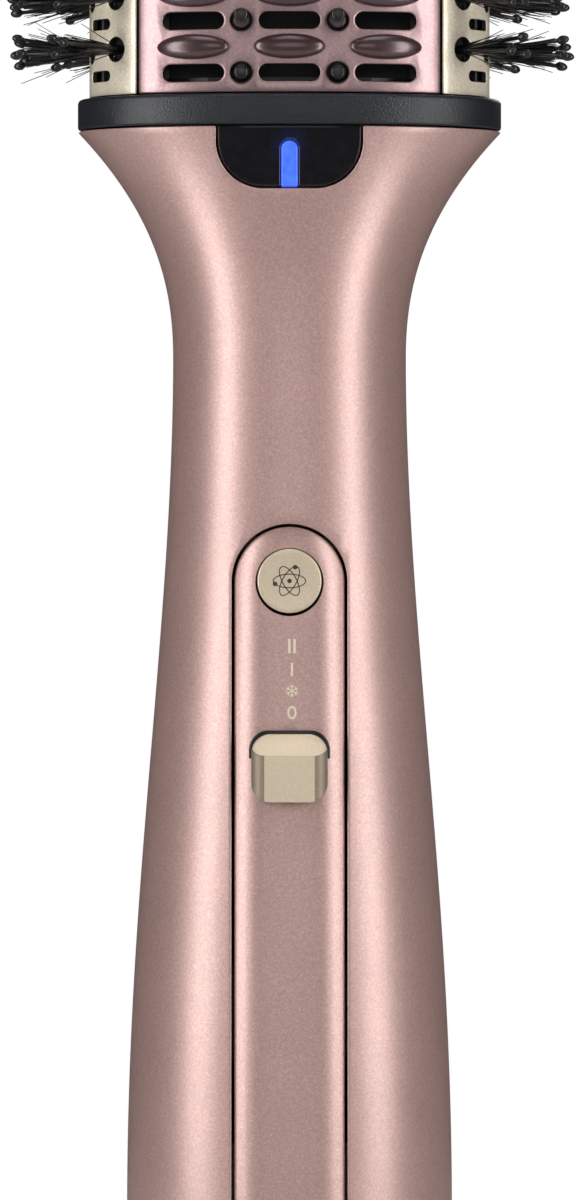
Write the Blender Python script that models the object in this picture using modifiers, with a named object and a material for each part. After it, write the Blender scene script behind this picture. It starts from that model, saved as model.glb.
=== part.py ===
"""Hot air brush: an oval brush head with bristles on a waisted handle with fan, heater and controls.

Metres, +Z along the brush towards the tip of the head, controls facing -Y, origin in the middle of the base.
"""

import bmesh
import bpy
from math import cos, pi, radians, sin
from mathutils import Matrix, Vector

MM = 0.001
GAP = 0.3 * MM  # between pieces that meet

# Handle
HANDLE_BOTTOM = 10 * MM  # where the shells start, above the base cap
HANDLE_TOP = 202.7 * MM
WAIST_Z = 165 * MM
GRIP_Z = 25 * MM
WAIST_WIDTH = 38.4 * MM
WAIST_DEPTH = 36.6 * MM
GRIP_WIDTH = 53.6 * MM
GRIP_DEPTH = 46.4 * MM
TOP_WIDTH = 70.4 * MM
TOP_DEPTH = 45.2 * MM
FLARE_POWER = 2.3
GRIP_POWER = 0.92
HANDLE_ROUNDNESS = 2.12  # exponent of the oval: 2 is an ellipse, more is squarer
SHELL_WALL = 2.2 * MM
SCREW_HEIGHTS = (17 * MM, 82 * MM, 134 * MM)
SCREW_RADIUS = 1.25 * MM
SCREW_HEAD_RADIUS = 2.4 * MM
SCREW_HEAD_HEIGHT = 1.0 * MM
SCREW_SINK = 1.5 * MM
SCREW_LENGTH = 6 * MM

# Control strip and what it carries
STRIP_WIDTH = 17.9 * MM
STRIP_TOP = 137.5 * MM
STRIP_WALL = 2.0 * MM
GROOVE = 0.5 * MM
BUTTON_Z = 128.7 * MM
BUTTON_RADIUS = 5.25 * MM
BUTTON_PROUD = 0.25 * MM
BUTTON_TRAVEL = 0.9 * MM
BUTTON_CLEARANCE = 0.3 * MM
BUTTON_EDGE = 0.5 * MM
BUTTON_FLANGE = 1.0 * MM  # how far it reaches behind the strip, and its thickness
KNOB_BOTTOM = 92.8 * MM
KNOB_LENGTH = 11.0 * MM
KNOB_WIDTH = 12.4 * MM
KNOB_HEIGHT = 3.3 * MM
KNOB_LEDGE = 3.3 * MM
KNOB_TRAVEL = 8.1 * MM
SLOT_WIDTH = 3.0 * MM
SLOT_START = 0.8 * MM  # above the knob's lower end
STEM_LENGTH = 1.6 * MM
FLANGE_LIFT = 0.4 * MM
FLANGE_THICKNESS = 0.5 * MM
FLANGE_MARGIN = 0.6 * MM
SHUTTER_THICKNESS = 0.8 * MM
SHUTTER_LAP = 1.5 * MM

# Indicator window
WINDOW_WIDTH = 23.4 * MM
WINDOW_HEIGHT = 9.8 * MM
WINDOW_CORNER = 7.5 * MM
WINDOW_RECESS = 0.7 * MM
WINDOW_WALL = 1.5 * MM
LIGHT_WIDTH = 2.7 * MM
LIGHT_LENGTH = 7.4 * MM
LIGHT_DEPTH = 3.0 * MM
LIGHT_PROUD = 0.2 * MM  # above the window's own surface
LED_BOARD_SIZE = (13 * MM, 1.0 * MM, 7.2 * MM)

# Collar
COLLAR_WIDTH = 70.6 * MM
COLLAR_DEPTH = 45.6 * MM
COLLAR_HEIGHT = 5.0 * MM
COLLAR_OPENING = 0.84  # inner oval over outer oval
COLLAR_EDGE = 0.9 * MM

# Brush head
HEAD_WIDTH = 66 * MM
HEAD_DEPTH = 40 * MM
HEAD_ROUNDNESS = 2.2
ROW_PITCH = 8.5 * MM
ROWS = 11  # rows of air slots; the domes and the bristles lie between them
FIRST_ROW = 3.2 * MM  # above the foot of the head
PANEL_WIDTH = 49.2 * MM
PANEL_WALL = 1.2 * MM
SIDE_WALL = 0.8 * MM
SEAM = 0.5 * MM
SLOT_PITCH = 15.7 * MM
AIR_SLOT_LENGTH = 10 * MM
AIR_SLOT_HEIGHT = 2.8 * MM
DOME_LENGTH = 11.4 * MM
DOME_WIDTH = 4.0 * MM
DOME_HEIGHT = 1.5 * MM
PIN_RADIUS = 1.4 * MM
PIN_HOLE_RADIUS = 1.75 * MM
PIN_LENGTH = 14 * MM
SHORT_PIN_LENGTH = 2 * MM
PIN_ROOT_LENGTH = 2.4 * MM  # inside the plate
PIN_STRIP_WIDTH = 4.0 * MM
PIN_STRIP_DEPTH = 1.4 * MM
TUFT_ANGLES = (58.5, 80, 100, 121.5)  # degrees round the oval from straight ahead
TUFT_HOLE_RADIUS = 2.05 * MM
TUFT_ROOT_RADIUS = 1.1 * MM
TUFT_TIP_RADIUS = 2.3 * MM
TUFT_LENGTH = 14.4 * MM
TUFT_STRIP_WIDTH = 3.6 * MM
TUFT_STRIP_DEPTH = 1.3 * MM
SIDE_SLOT_ANGLES = (62, 79)
SIDE_SLOT_HEIGHT = 1.75 * MM
CAP_HEIGHT = 8.5 * MM
FRAME_SIDE_CLEARANCE = 5.6 * MM
FRAME_FRONT_CLEARANCE = 4.4 * MM
FRAME_RING_HEIGHT = 2.2 * MM
FRAME_OPENING = 0.8  # inner oval over outer oval of the lower ring
FRAME_WEB_PLACE = 0.72  # share of the frame's half width
FRAME_WALL = 1.5 * MM

# Base
BASE_ROUNDING = 3.0 * MM
BASE_FLOOR = 2.5 * MM
SWIVEL_RADIUS = 8.6 * MM
SWIVEL_CLEARANCE = 0.4 * MM
CORD_BORE_RADIUS = 4.0 * MM
GRILLE_SLOTS = 14
GRILLE_SLOT_WIDTH = 2.2 * MM
GRILLE_RING = (12.2 * MM, 18.2 * MM)
SWIVEL_FLANGE = 1.6 * MM
SWIVEL_FLANGE_REACH = 1.8 * MM
SWIVEL_NECK_WALL = 1.6 * MM
SWIVEL_NECK_LENGTH = 3.5 * MM
RETAINER_REACH = 4 * MM
RETAINER_THICKNESS = 1.5 * MM
FILTER_LIFT = 1.2 * MM
FILTER_THICKNESS = 0.8 * MM

# Fan, motor and heater
FAN_Z = 24 * MM
FAN_RADIUS = 16.6 * MM
FAN_HEIGHT = 11 * MM
FAN_BLADES = 7
FAN_HUB_RADIUS = 6.2 * MM
BLADE_THICKNESS = 1.1 * MM
SHROUD_CLEARANCE = 0.7 * MM
SHROUD_WALL = 1.3 * MM
MOTOR_Z = 42 * MM
MOTOR_RADIUS = 13 * MM
MOTOR_LENGTH = 32 * MM
MOTOR_BOSS_RADIUS = 4 * MM
MOTOR_BOSS_HEIGHT = 1.5 * MM
MOTOR_BORE_DEPTH = 6 * MM
CRADLE_WALL = 1.4 * MM
CRADLE_SPAN = (8 * MM, 24 * MM)  # above the motor's lower end
SHAFT_RADIUS = 1.0 * MM
HEATER_BELOW_TOP = 58.7 * MM  # heater's lower end, measured down from the top of the handle
HEATER_LENGTH = 54 * MM
HEATER_RADIUS = 14.8 * MM
SLEEVE_WALL = 0.6 * MM
COIL_RADIUS = 10.6 * MM
COIL_TURNS = 7
COIL_WIRE_RADIUS = 0.6 * MM
MICA = 1.0 * MM
MICA_MARGIN = 2 * MM
THERMOSTAT_HEIGHT = 2.6 * MM
FUSE_RADIUS = 1.6 * MM
FUSE_LENGTH = 9 * MM

# Electronics
BOARD_FRONT = -12.4 * MM
BOARD_THICKNESS = 1.6 * MM
BOARD_WIDTH = 15 * MM
SLIDE_SWITCH_WIDTH = 9 * MM
ION_SWITCH_WIDTH = 6 * MM
ION_GENERATOR_LOW = (-8 * MM, 2 * MM, 92 * MM)
ION_GENERATOR_SIZE = (16 * MM, 11 * MM, 30 * MM)
EMITTER_X = 20 * MM
EMITTER_BELOW_TOP = 9 * MM

# For cutters through the handle's front wall
FRONT = -40 * MM
INSIDE = -8 * MM
PAST = 5 * MM  # how far a cutter runs past what it cuts

# Derived heights
WINDOW_BOTTOM = HANDLE_TOP - WINDOW_HEIGHT
HEATER_Z = HANDLE_TOP - HEATER_BELOW_TOP
COLLAR_BOTTOM = HANDLE_TOP + GAP
COLLAR_TOP = COLLAR_BOTTOM + COLLAR_HEIGHT
HEAD_BOTTOM = COLLAR_TOP + GAP
HEAD_TOP = HEAD_BOTTOM + 2 * FIRST_ROW + (ROWS - 1) * ROW_PITCH + 0.7 * MM
SLOT_ROWS = [HEAD_BOTTOM + FIRST_ROW + i * ROW_PITCH for i in range(ROWS)]
DOME_ROWS = [z + ROW_PITCH / 2 for z in SLOT_ROWS[:-1]]

for old in list(bpy.data.objects):
    bpy.data.objects.remove(old, do_unlink=True)

PARTS = bpy.data.collections.new("hot_air_brush")
CUTTERS = bpy.data.collections.new("cutters")
for group in (PARTS, CUTTERS):
    bpy.context.scene.collection.children.link(group)


# ---------------------------------------------------------------- materials

def finish(name, colour, roughness, metallic=0.0):
    material = bpy.data.materials.new(name)
    material.use_nodes = True
    shader = material.node_tree.nodes["Principled BSDF"]
    shader.inputs["Base Color"].default_value = (*colour, 1)
    shader.inputs["Roughness"].default_value = roughness
    shader.inputs["Metallic"].default_value = metallic
    return material


ROSE_PAINT = finish("rose_paint", (0.55, 0.35, 0.33), 0.38, 0.5)
ROSE_PLATE = finish("rose_plate", (0.60, 0.40, 0.42), 0.32, 0.7)
GOLD_METAL = finish("gold_metal", (0.72, 0.60, 0.45), 0.3, 0.9)
CHAMPAGNE = finish("champagne_plastic", (0.68, 0.56, 0.41), 0.38, 0.5)
CHARCOAL = finish("charcoal_plastic", (0.045, 0.048, 0.053), 0.5)
GLOSS_BLACK = finish("gloss_black", (0.01, 0.01, 0.011), 0.12)
BLUE_LIGHT = finish("blue_light", (0.06, 0.2, 0.95), 0.3)
NYLON = finish("black_nylon", (0.012, 0.012, 0.013), 0.4)
STEEL = finish("steel", (0.55, 0.55, 0.56), 0.35, 1.0)
MICA_SHEET = finish("mica_sheet", (0.62, 0.55, 0.42), 0.6)
NICHROME = finish("nichrome", (0.35, 0.33, 0.31), 0.4, 1.0)
GREEN_BOARD = finish("green_board", (0.03, 0.16, 0.07), 0.45)
GREY_PLASTIC = finish("grey_plastic", (0.25, 0.25, 0.26), 0.5)
RUBBER = finish("rubber", (0.02, 0.02, 0.02), 0.8)


# ---------------------------------------------------------------- making and cutting

def new_object(name, mesh, material=None):
    """A piece when it has a material, otherwise a cutter."""
    obj = bpy.data.objects.new(name, mesh)
    if material:
        mesh.materials.append(material)
        PARTS.objects.link(obj)
    else:
        obj.hide_render = True
        obj.display_type = "WIRE"
        CUTTERS.objects.link(obj)
    return obj


def finish_mesh(name, bm):
    bmesh.ops.recalc_face_normals(bm, faces=bm.faces)
    mesh = bpy.data.meshes.new(name)
    bm.to_mesh(mesh)
    bm.free()
    mesh.shade_smooth()
    mesh.set_sharp_from_angle(angle=radians(35))
    return mesh


def add_skin(bm, rings, closed=False):
    """Joins rings of points with faces. closed joins the last ring to the first instead of capping both."""
    rows = [[bm.verts.new(point) for point in ring] for ring in rings]
    following = rows[1:] + rows[:1] if closed else rows[1:]
    for low, high in zip(rows, following):
        for i in range(len(low)):
            j = (i + 1) % len(low)
            bm.faces.new((low[i], low[j], high[j], high[i]))
    if not closed:
        bm.faces.new(rows[0])
        bm.faces.new(rows[-1])


def skin(name, rings, material=None, closed=False):
    bm = bmesh.new()
    add_skin(bm, rings, closed)
    return new_object(name, finish_mesh(name, bm), material)


def skins(name, bodies, material=None):
    """Several separate skins in one object, for cutters and for shapes that a union then joins."""
    bm = bmesh.new()
    for rings in bodies:
        add_skin(bm, rings)
    return new_object(name, finish_mesh(name, bm), material)


def box(name, low, high, material=None):
    bm = bmesh.new()
    size = Vector(high) - Vector(low)
    centre = (Vector(high) + Vector(low)) / 2
    bmesh.ops.create_cube(bm, size=1, matrix=Matrix.Translation(centre) @ Matrix.Diagonal((*size, 1)))
    return new_object(name, finish_mesh(name, bm), material)


def turned(name, profile, material=None, steps=16, location=(0, 0, 0), tilt=0.0):
    """A turned piece. The profile is (radius, height) points down its outer side, closed when it is hollow."""
    mesh = bpy.data.meshes.new(name)
    points = [(radius, 0, height) for radius, height in profile]
    edges = [(i, i + 1) for i in range(len(points) - 1)]
    if profile[0][0] > 0:
        edges.append((len(points) - 1, 0))
    mesh.from_pydata(points, edges, [])
    obj = new_object(name, mesh, material)
    obj.location = location
    obj.rotation_euler.x = tilt
    screw = obj.modifiers.new("turn", "SCREW")
    screw.steps = steps
    screw.render_steps = steps
    screw.use_merge_vertices = True
    screw.merge_threshold = 0.00005
    return obj


def boolean(obj, other, operation):
    modifier = obj.modifiers.new(operation.lower(), "BOOLEAN")
    modifier.operation = operation
    modifier.object = other
    return obj


def cut(obj, cutter):
    return boolean(obj, cutter, "DIFFERENCE")


def join(obj, other):
    """Unites a helper with obj. The helper stays a guide."""
    return boolean(obj, other, "UNION")


# ---------------------------------------------------------------- the two ovals

def oval_point(half_width, half_depth, roundness, angle):
    """A point of the oval, angle counted from straight ahead (-Y) towards +X."""
    s = sin(angle)
    c = cos(angle)
    x = half_width * abs(s) ** (2 / roundness) * (1 if s >= 0 else -1)
    y = -half_depth * abs(c) ** (2 / roundness) * (1 if c >= 0 else -1)
    return x, y


def oval_ring(half_width, half_depth, roundness, z, points=20):
    angles = [2 * pi * (i + 0.5) / points for i in range(points)]
    return [(*oval_point(half_width, half_depth, roundness, angle), z) for angle in angles]


def handle_half_sizes(z, inset=0.0):
    """Half width and half depth of the handle at height z."""
    down = min(max((WAIST_Z - z) / (WAIST_Z - GRIP_Z), 0), 1)
    ease = (1 - cos(pi * down ** GRIP_POWER)) / 2
    up = max((z - WAIST_Z) / (COLLAR_BOTTOM - WAIST_Z), 0) ** FLARE_POWER
    width = WAIST_WIDTH + (GRIP_WIDTH - WAIST_WIDTH) * ease + (TOP_WIDTH - WAIST_WIDTH) * up
    depth = WAIST_DEPTH + (GRIP_DEPTH - WAIST_DEPTH) * ease + (TOP_DEPTH - WAIST_DEPTH) * up
    return width / 2 - inset, depth / 2 - inset


def handle_front(x, z, lift=0.0):
    """Y of the handle's front surface at (x, z), moved outwards by lift."""
    half_width, half_depth = handle_half_sizes(z, -lift)
    return -half_depth * (1 - abs(x / half_width) ** HANDLE_ROUNDNESS) ** (1 / HANDLE_ROUNDNESS)


def handle_heights(low, high):
    """Heights that follow the handle's curve: close together in the flare, wide apart below it."""
    stations = [HANDLE_BOTTOM, 28 * MM, 50 * MM, 75 * MM, 100 * MM, 125 * MM, 148 * MM, WAIST_Z]
    flare = HANDLE_TOP - WAIST_Z
    stations += [WAIST_Z + flare * share for share in (0.3, 0.5, 0.66, 0.8, 0.91)]
    between = [z for z in stations if low + MM < z < high - MM]
    return [low] + between + [high]


def handle_half_shell(front, inset, wall, low, high, name, material=None, segments=10):
    """Front or rear half of the handle's skin, as one closed body."""
    start = -pi / 2 if front else pi / 2
    edge = radians(0.35)  # half of the gap between the two halves
    angles = [start + edge + (pi - 2 * edge) * i / segments for i in range(segments + 1)]
    rings = []
    for z in handle_heights(low, high):
        outer = [oval_point(*handle_half_sizes(z, inset), HANDLE_ROUNDNESS, a) for a in angles]
        inner = [oval_point(*handle_half_sizes(z, inset + wall), HANDLE_ROUNDNESS, a) for a in angles]
        rings.append([(x, y, z) for x, y in outer + inner[::-1]])
    return skin(name, rings, material)


def prism(name, outline, front, back, material=None):
    """An outline of (x, z) points carried along Y."""
    rings = [[(x, y, z) for x, z in outline] for y in (front, back)]
    return skin(name, rings, material)


def arch(half_width, top, bottom, segments=12):
    """Outline with straight sides, a half-round top and a flat bottom."""
    centre = top - half_width
    angles = [pi * i / segments for i in range(segments + 1)]
    curve = [(half_width * cos(a), centre + half_width * sin(a)) for a in angles]
    return curve + [(-half_width, bottom), (half_width, bottom)]


# ---------------------------------------------------------------- handle shells and strip

def circle_outline(z, radius, points):
    """Circle about (0, z), as (x, z) points."""
    return [(radius * cos(2 * pi * i / points), z + radius * sin(2 * pi * i / points)) for i in range(points)]


def strip_outline(margin=0.0, bottom=HANDLE_BOTTOM):
    return arch(STRIP_WIDTH / 2 + margin, STRIP_TOP + margin, bottom)


def window_outline(margin=0.0, top=HANDLE_TOP):
    """A U that is open to the collar, with wide round lower corners."""
    half = WINDOW_WIDTH / 2 + margin
    radius = WINDOW_CORNER + margin
    low = WINDOW_BOTTOM - margin
    turn = [pi / 2 * i / 5 for i in range(6)]
    right = [(half - radius + radius * sin(a), low + radius - radius * cos(a)) for a in turn]
    left = [(-x, z) for x, z in reversed(right)]
    return right + [(half, top), (-half, top)] + left


def light_outline(margin=0.0):
    half = LIGHT_WIDTH / 2 + margin
    bottom = WINDOW_BOTTOM - margin
    return arch(half, WINDOW_BOTTOM + LIGHT_LENGTH + margin, bottom, 6)


def make_handle_front_shell():
    shell = handle_half_shell(True, 0, SHELL_WALL, HANDLE_BOTTOM, HANDLE_TOP, "handle_front_shell", ROSE_PAINT)
    below = HANDLE_BOTTOM - PAST
    cut(shell, prism("strip_opening", strip_outline(GROOVE, below), FRONT, INSIDE))
    above = HANDLE_TOP + PAST
    cut(shell, prism("window_opening", window_outline(GAP, above), FRONT, INSIDE))
    return shell


def make_handle_rear_shell():
    shell = handle_half_shell(False, 0, SHELL_WALL, HANDLE_BOTTOM, HANDLE_TOP, "handle_rear_shell", ROSE_PAINT)
    for z in SCREW_HEIGHTS:
        outside = handle_half_sizes(z)[1]
        inside = outside / 2
        seat = outside - SCREW_SINK
        hole = circle_outline(z, SCREW_RADIUS + GAP, 10)
        cut(shell, prism("screw_hole", hole, inside, outside + PAST))
        recess = circle_outline(z, SCREW_HEAD_RADIUS + GAP, 10)
        cut(shell, prism("screw_recess", recess, seat, outside + PAST))
    return shell


def make_handle_screws():
    names = ("handle_screw_lower", "handle_screw_middle", "handle_screw_upper")
    for name, z in zip(names, SCREW_HEIGHTS):
        depth = handle_half_sizes(z)[1]
        seat = depth - SCREW_SINK + GAP
        head_top = seat + SCREW_HEAD_HEIGHT
        profile = [
            (0, 0),
            (SCREW_HEAD_RADIUS, 0),
            (SCREW_HEAD_RADIUS, seat - head_top),
            (SCREW_RADIUS, seat - head_top),
            (SCREW_RADIUS, -SCREW_LENGTH),
            (0, -SCREW_LENGTH),
        ]
        turned(name, profile, STEEL, 10, (0, head_top, z), radians(-90))


def make_control_strip():
    above = STRIP_TOP + PAST
    strip = handle_half_shell(True, 0, STRIP_WALL, HANDLE_BOTTOM, above, "control_strip", ROSE_PAINT)
    below = HANDLE_BOTTOM - PAST
    boolean(strip, prism("strip_shape", strip_outline(0, below), FRONT, INSIDE), "INTERSECT")
    button_hole = circle_outline(BUTTON_Z, BUTTON_RADIUS + BUTTON_CLEARANCE, 20)
    cut(strip, prism("button_hole", button_hole, FRONT, INSIDE))
    low = KNOB_BOTTOM + SLOT_START
    high = low + STEM_LENGTH + KNOB_TRAVEL + 2 * GAP
    half = SLOT_WIDTH / 2
    slot = [(-half, low), (half, low), (half, high), (-half, high)]
    cut(strip, prism("knob_slot", slot, FRONT, INSIDE))
    return strip


# ---------------------------------------------------------------- button and slide

def make_ion_button():
    """A round push button with a flange behind the strip. Its origin is on its axis of travel."""
    face = handle_front(0, BUTTON_Z) - BUTTON_PROUD
    flange_radius = BUTTON_RADIUS + BUTTON_FLANGE
    flange = handle_front(flange_radius, BUTTON_Z) + STRIP_WALL + 2 * GAP - face
    back = flange + BUTTON_FLANGE
    profile = [
        (0, 0),
        (BUTTON_RADIUS - BUTTON_EDGE, 0),
        (BUTTON_RADIUS, -BUTTON_EDGE),
        (BUTTON_RADIUS, -flange),
        (flange_radius, -flange),
        (flange_radius, -back),
        (0, -back),
    ]
    turned("ion_button", profile, CHAMPAGNE, 20, (0, face, BUTTON_Z), radians(90))
    return face + back


def surface_patch(z, half_width, low_lift, high_lift, segments=4):
    """Section at height z of a plate that follows the handle's front surface between two lifts."""
    xs = [half_width * (2 * i / segments - 1) for i in range(segments + 1)]
    outer = [(x, handle_front(x, z, high_lift), z) for x in xs]
    inner = [(x, handle_front(x, z, low_lift), z) for x in xs]
    return outer + inner[::-1]


def make_slide_carriage():
    """Black carriage: a flange under the knob, a stem through the slot and a shutter behind the strip."""
    half = KNOB_WIDTH / 2
    top = KNOB_BOTTOM + KNOB_LENGTH + FLANGE_MARGIN
    levels = (
        (KNOB_BOTTOM + 0.4 * MM, half - 1.5 * MM),
        (KNOB_BOTTOM + 2.0 * MM, half - 0.2 * MM),
        (top - 5.0 * MM, half - 0.2 * MM),
        (top - 4.4 * MM, half + FLANGE_MARGIN),
        (top - 2.0 * MM, half + FLANGE_MARGIN),
        (top - 0.6 * MM, half - 0.6 * MM),
        (top, half - 2.4 * MM),
    )
    over = FLANGE_LIFT + FLANGE_THICKNESS
    rings = [surface_patch(z, width, FLANGE_LIFT, over) for z, width in levels]
    carriage = skin("slide_carriage", rings, NYLON)
    stem_low = KNOB_BOTTOM + SLOT_START + GAP
    stem_high = stem_low + STEM_LENGTH
    shutter_y = handle_front(SLOT_WIDTH, KNOB_BOTTOM + KNOB_LENGTH + KNOB_TRAVEL) + STRIP_WALL + 2 * GAP
    half_stem = SLOT_WIDTH / 2 - GAP
    front = handle_front(0, stem_low) - FLANGE_LIFT - FLANGE_THICKNESS / 2
    stem = box("carriage_stem", (-half_stem, front, stem_low), (half_stem, shutter_y + 0.4 * MM, stem_high))
    low = KNOB_BOTTOM - KNOB_TRAVEL
    high = KNOB_BOTTOM + KNOB_LENGTH + SHUTTER_LAP
    shutter = box("carriage_shutter", (-SLOT_WIDTH, shutter_y, low), (SLOT_WIDTH, shutter_y + SHUTTER_THICKNESS, high))
    join(carriage, stem)
    join(carriage, shutter)
    return shutter_y + SHUTTER_THICKNESS


def knob_section(z, half_width, low_lift, height, shoulder):
    """Section of the knob: a flat middle with sloping sides over a curved underside."""
    xs = [half_width * t for t in (-1, -0.5, 0, 0.5, 1)]
    under = [(x, handle_front(x, z, low_lift), z) for x in xs]
    middle = handle_front(0, z, low_lift + height)
    side = handle_front(half_width, z, low_lift) - shoulder
    flat = half_width * 0.66
    return under + [(half_width, side, z), (flat, middle, z), (-flat, middle, z), (-half_width, side, z)]


def make_slide_knob():
    lift = FLANGE_LIFT + FLANGE_THICKNESS + GAP
    top = KNOB_BOTTOM + KNOB_LENGTH
    half = KNOB_WIDTH / 2
    tall = KNOB_HEIGHT
    sections = (
        (KNOB_BOTTOM, half - 2.4 * MM, 0.35 * tall, 0.5 * MM),
        (KNOB_BOTTOM + 0.6 * MM, half - 1.0 * MM, 0.6 * tall, 0.8 * MM),
        (KNOB_BOTTOM + 2.2 * MM, half, 0.9 * tall, 1.5 * MM),
        (top - KNOB_LEDGE - 0.2 * MM, half, tall, 1.9 * MM),
        (top - KNOB_LEDGE, half, tall, 1.9 * MM),
        (top - 1.6 * MM, half - 0.4 * MM, 0.55 * tall, 1.2 * MM),
        (top - 0.5 * MM, half - 1.5 * MM, 0.3 * tall, 0.6 * MM),
        (top, half - 2.8 * MM, 0.18 * tall, 0.4 * MM),
    )
    rings = [knob_section(z, width, lift, height, shoulder) for z, width, height, shoulder in sections]
    return skin("slide_knob", rings, CHAMPAGNE)


# ---------------------------------------------------------------- indicator

def make_indicator_window():
    low = WINDOW_BOTTOM
    window = handle_half_shell(True, WINDOW_RECESS, WINDOW_WALL, low - MM, HANDLE_TOP, "indicator_window", GLOSS_BLACK)
    above = HANDLE_TOP + PAST
    boolean(window, prism("window_shape", window_outline(0, above), FRONT, INSIDE), "INTERSECT")
    cut(window, prism("light_opening", light_outline(GAP), FRONT, INSIDE))
    return window


def make_light_pipe():
    low = WINDOW_BOTTOM
    inset = WINDOW_RECESS - LIGHT_PROUD
    pipe = handle_half_shell(True, inset, LIGHT_DEPTH, low - MM, HANDLE_TOP, "light_pipe", BLUE_LIGHT)
    boolean(pipe, prism("light_shape", light_outline(), FRONT, INSIDE), "INTERSECT")
    return pipe


def make_indicator_board():
    z = WINDOW_BOTTOM + LIGHT_LENGTH / 2
    front = handle_front(0, WINDOW_BOTTOM) + WINDOW_RECESS + LIGHT_DEPTH + GAP
    size = Vector(LED_BOARD_SIZE)
    low = Vector((-size.x / 2, front, z - size.z / 2))
    return box("indicator_led_board", low, low + size, GREEN_BOARD)


# ---------------------------------------------------------------- collar and head

def make_collar_ring():
    half_width = COLLAR_WIDTH / 2
    half_depth = COLLAR_DEPTH / 2
    edge = COLLAR_EDGE
    foot = edge / 2
    levels = (
        (1.0, COLLAR_BOTTOM, foot),
        (1.0, COLLAR_BOTTOM + foot, 0),
        (1.0, COLLAR_TOP - edge, 0),
        (1.0, COLLAR_TOP - 0.25 * edge, 0.35 * edge),
        (1.0, COLLAR_TOP, edge),
        (COLLAR_OPENING, COLLAR_TOP, 0),
        (COLLAR_OPENING, COLLAR_BOTTOM, 0),
    )
    rings = [
        oval_ring(half_width * share - inset, half_depth * share - inset, HEAD_ROUNDNESS, z)
        for share, z, inset in levels
    ]
    return skin("collar_ring", rings, CHARCOAL, closed=True)


def head_point(angle, inset=0.0):
    return oval_point(HEAD_WIDTH / 2 - inset, HEAD_DEPTH / 2 - inset, HEAD_ROUNDNESS, angle)


def head_angle(x):
    """Angle from straight ahead at which the head's oval reaches x."""
    low = 0
    high = pi / 2
    for _ in range(40):
        middle = (low + high) / 2
        if head_point(middle)[0] < x:
            low = middle
        else:
            high = middle
    return low


def head_normal(angle):
    """Outward direction of the head's oval at this angle."""
    before = Vector(head_point(angle - 0.01))
    after = Vector(head_point(angle + 0.01))
    along = after - before
    return Vector((-along.y, along.x, 0)).normalized() * (-1)


def arc_body(angles, inset, wall, low, high):
    """Rings of a bent plate on the head's oval, with a fold at each angle."""
    outer = [head_point(a, inset) for a in angles]
    inner = [head_point(a, inset + wall) for a in angles]
    return [[(x, y, z) for x, y in outer + inner[::-1]] for z in (low, high)]


def oval_hole(x, z, half_length, half_height, side):
    """A slot with round ends through the front (side -1) or rear (side 1) panel."""
    straight = half_length - half_height
    ring = []
    for centre, turn in ((straight, -90), (-straight, 90)):
        for step in (0, 90, 180):
            angle = radians(turn + step)
            ring.append((x + centre + half_height * cos(angle), z + half_height * sin(angle)))
    near = side * HEAD_DEPTH * 0.2
    far = side * HEAD_DEPTH
    return [[(px, y, pz) for px, pz in ring] for y in (near, far)]


def round_hole(x, z, radius, side):
    ring = [(x + radius * cos(pi * i / 3), z + radius * sin(pi * i / 3)) for i in range(6)]
    near = side * HEAD_DEPTH * 0.2
    far = side * HEAD_DEPTH
    return [[(px, y, pz) for px, pz in ring] for y in (near, far)]


def panel_y(x, side, inset=0.0):
    half_width = HEAD_WIDTH / 2 - inset
    half_depth = HEAD_DEPTH / 2 - inset
    return side * half_depth * (1 - abs(x / half_width) ** HEAD_ROUNDNESS) ** (1 / HEAD_ROUNDNESS)


def dome(x, z, side):
    """A long oval dome, half sunk in the panel. Its rings run from its inner end to its crown."""
    surface = panel_y(x, side)
    rings = []
    for share, height in ((0.7, -0.5), (1.0, 0.1), (0.55, 1.0)):
        half_length = DOME_LENGTH / 2 * share
        half_width = DOME_WIDTH / 2 * share
        tilt = (panel_y(x + MM, side) - surface) / MM
        ring = []
        for i in range(6):
            dx = half_length * cos(pi * i / 3)
            y = surface + side * DOME_HEIGHT * height + tilt * dx
            ring.append((x + dx, y, z + half_width * sin(pi * i / 3)))
        rings.append(ring)
    return rings


def make_head_panel(name, side):
    """Front or rear plate of the head, with air slots, domes and holes for the pins."""
    folds = (
        SLOT_PITCH / 2 - PIN_HOLE_RADIUS - 0.2 * MM,
        SLOT_PITCH / 2 + PIN_HOLE_RADIUS + 0.2 * MM,
        SLOT_PITCH + DOME_LENGTH / 2 + 0.2 * MM,
        PANEL_WIDTH / 2,
    )
    right = [head_angle(x) for x in folds]
    angles = [-angle for angle in reversed(right)] + right
    if side > 0:
        angles = [pi + angle for angle in angles]
    panel = skin(name, arc_body(angles, 0, PANEL_WALL, HEAD_BOTTOM, HEAD_TOP), ROSE_PLATE)
    columns = (-SLOT_PITCH, 0, SLOT_PITCH)
    domes = [dome(x, z, side) for x in columns for z in DOME_ROWS]
    join(panel, skins(name + "_domes", domes))
    slots = [oval_hole(x, z, AIR_SLOT_LENGTH / 2, AIR_SLOT_HEIGHT / 2, side) for x in columns for z in SLOT_ROWS]
    cut(panel, skins(name + "_slots", slots))
    holes = [round_hole(x, z, PIN_HOLE_RADIUS, side) for x in (-SLOT_PITCH / 2, SLOT_PITCH / 2) for z in SLOT_ROWS]
    cut(panel, skins(name + "_pin_holes", holes))
    return panel


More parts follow.
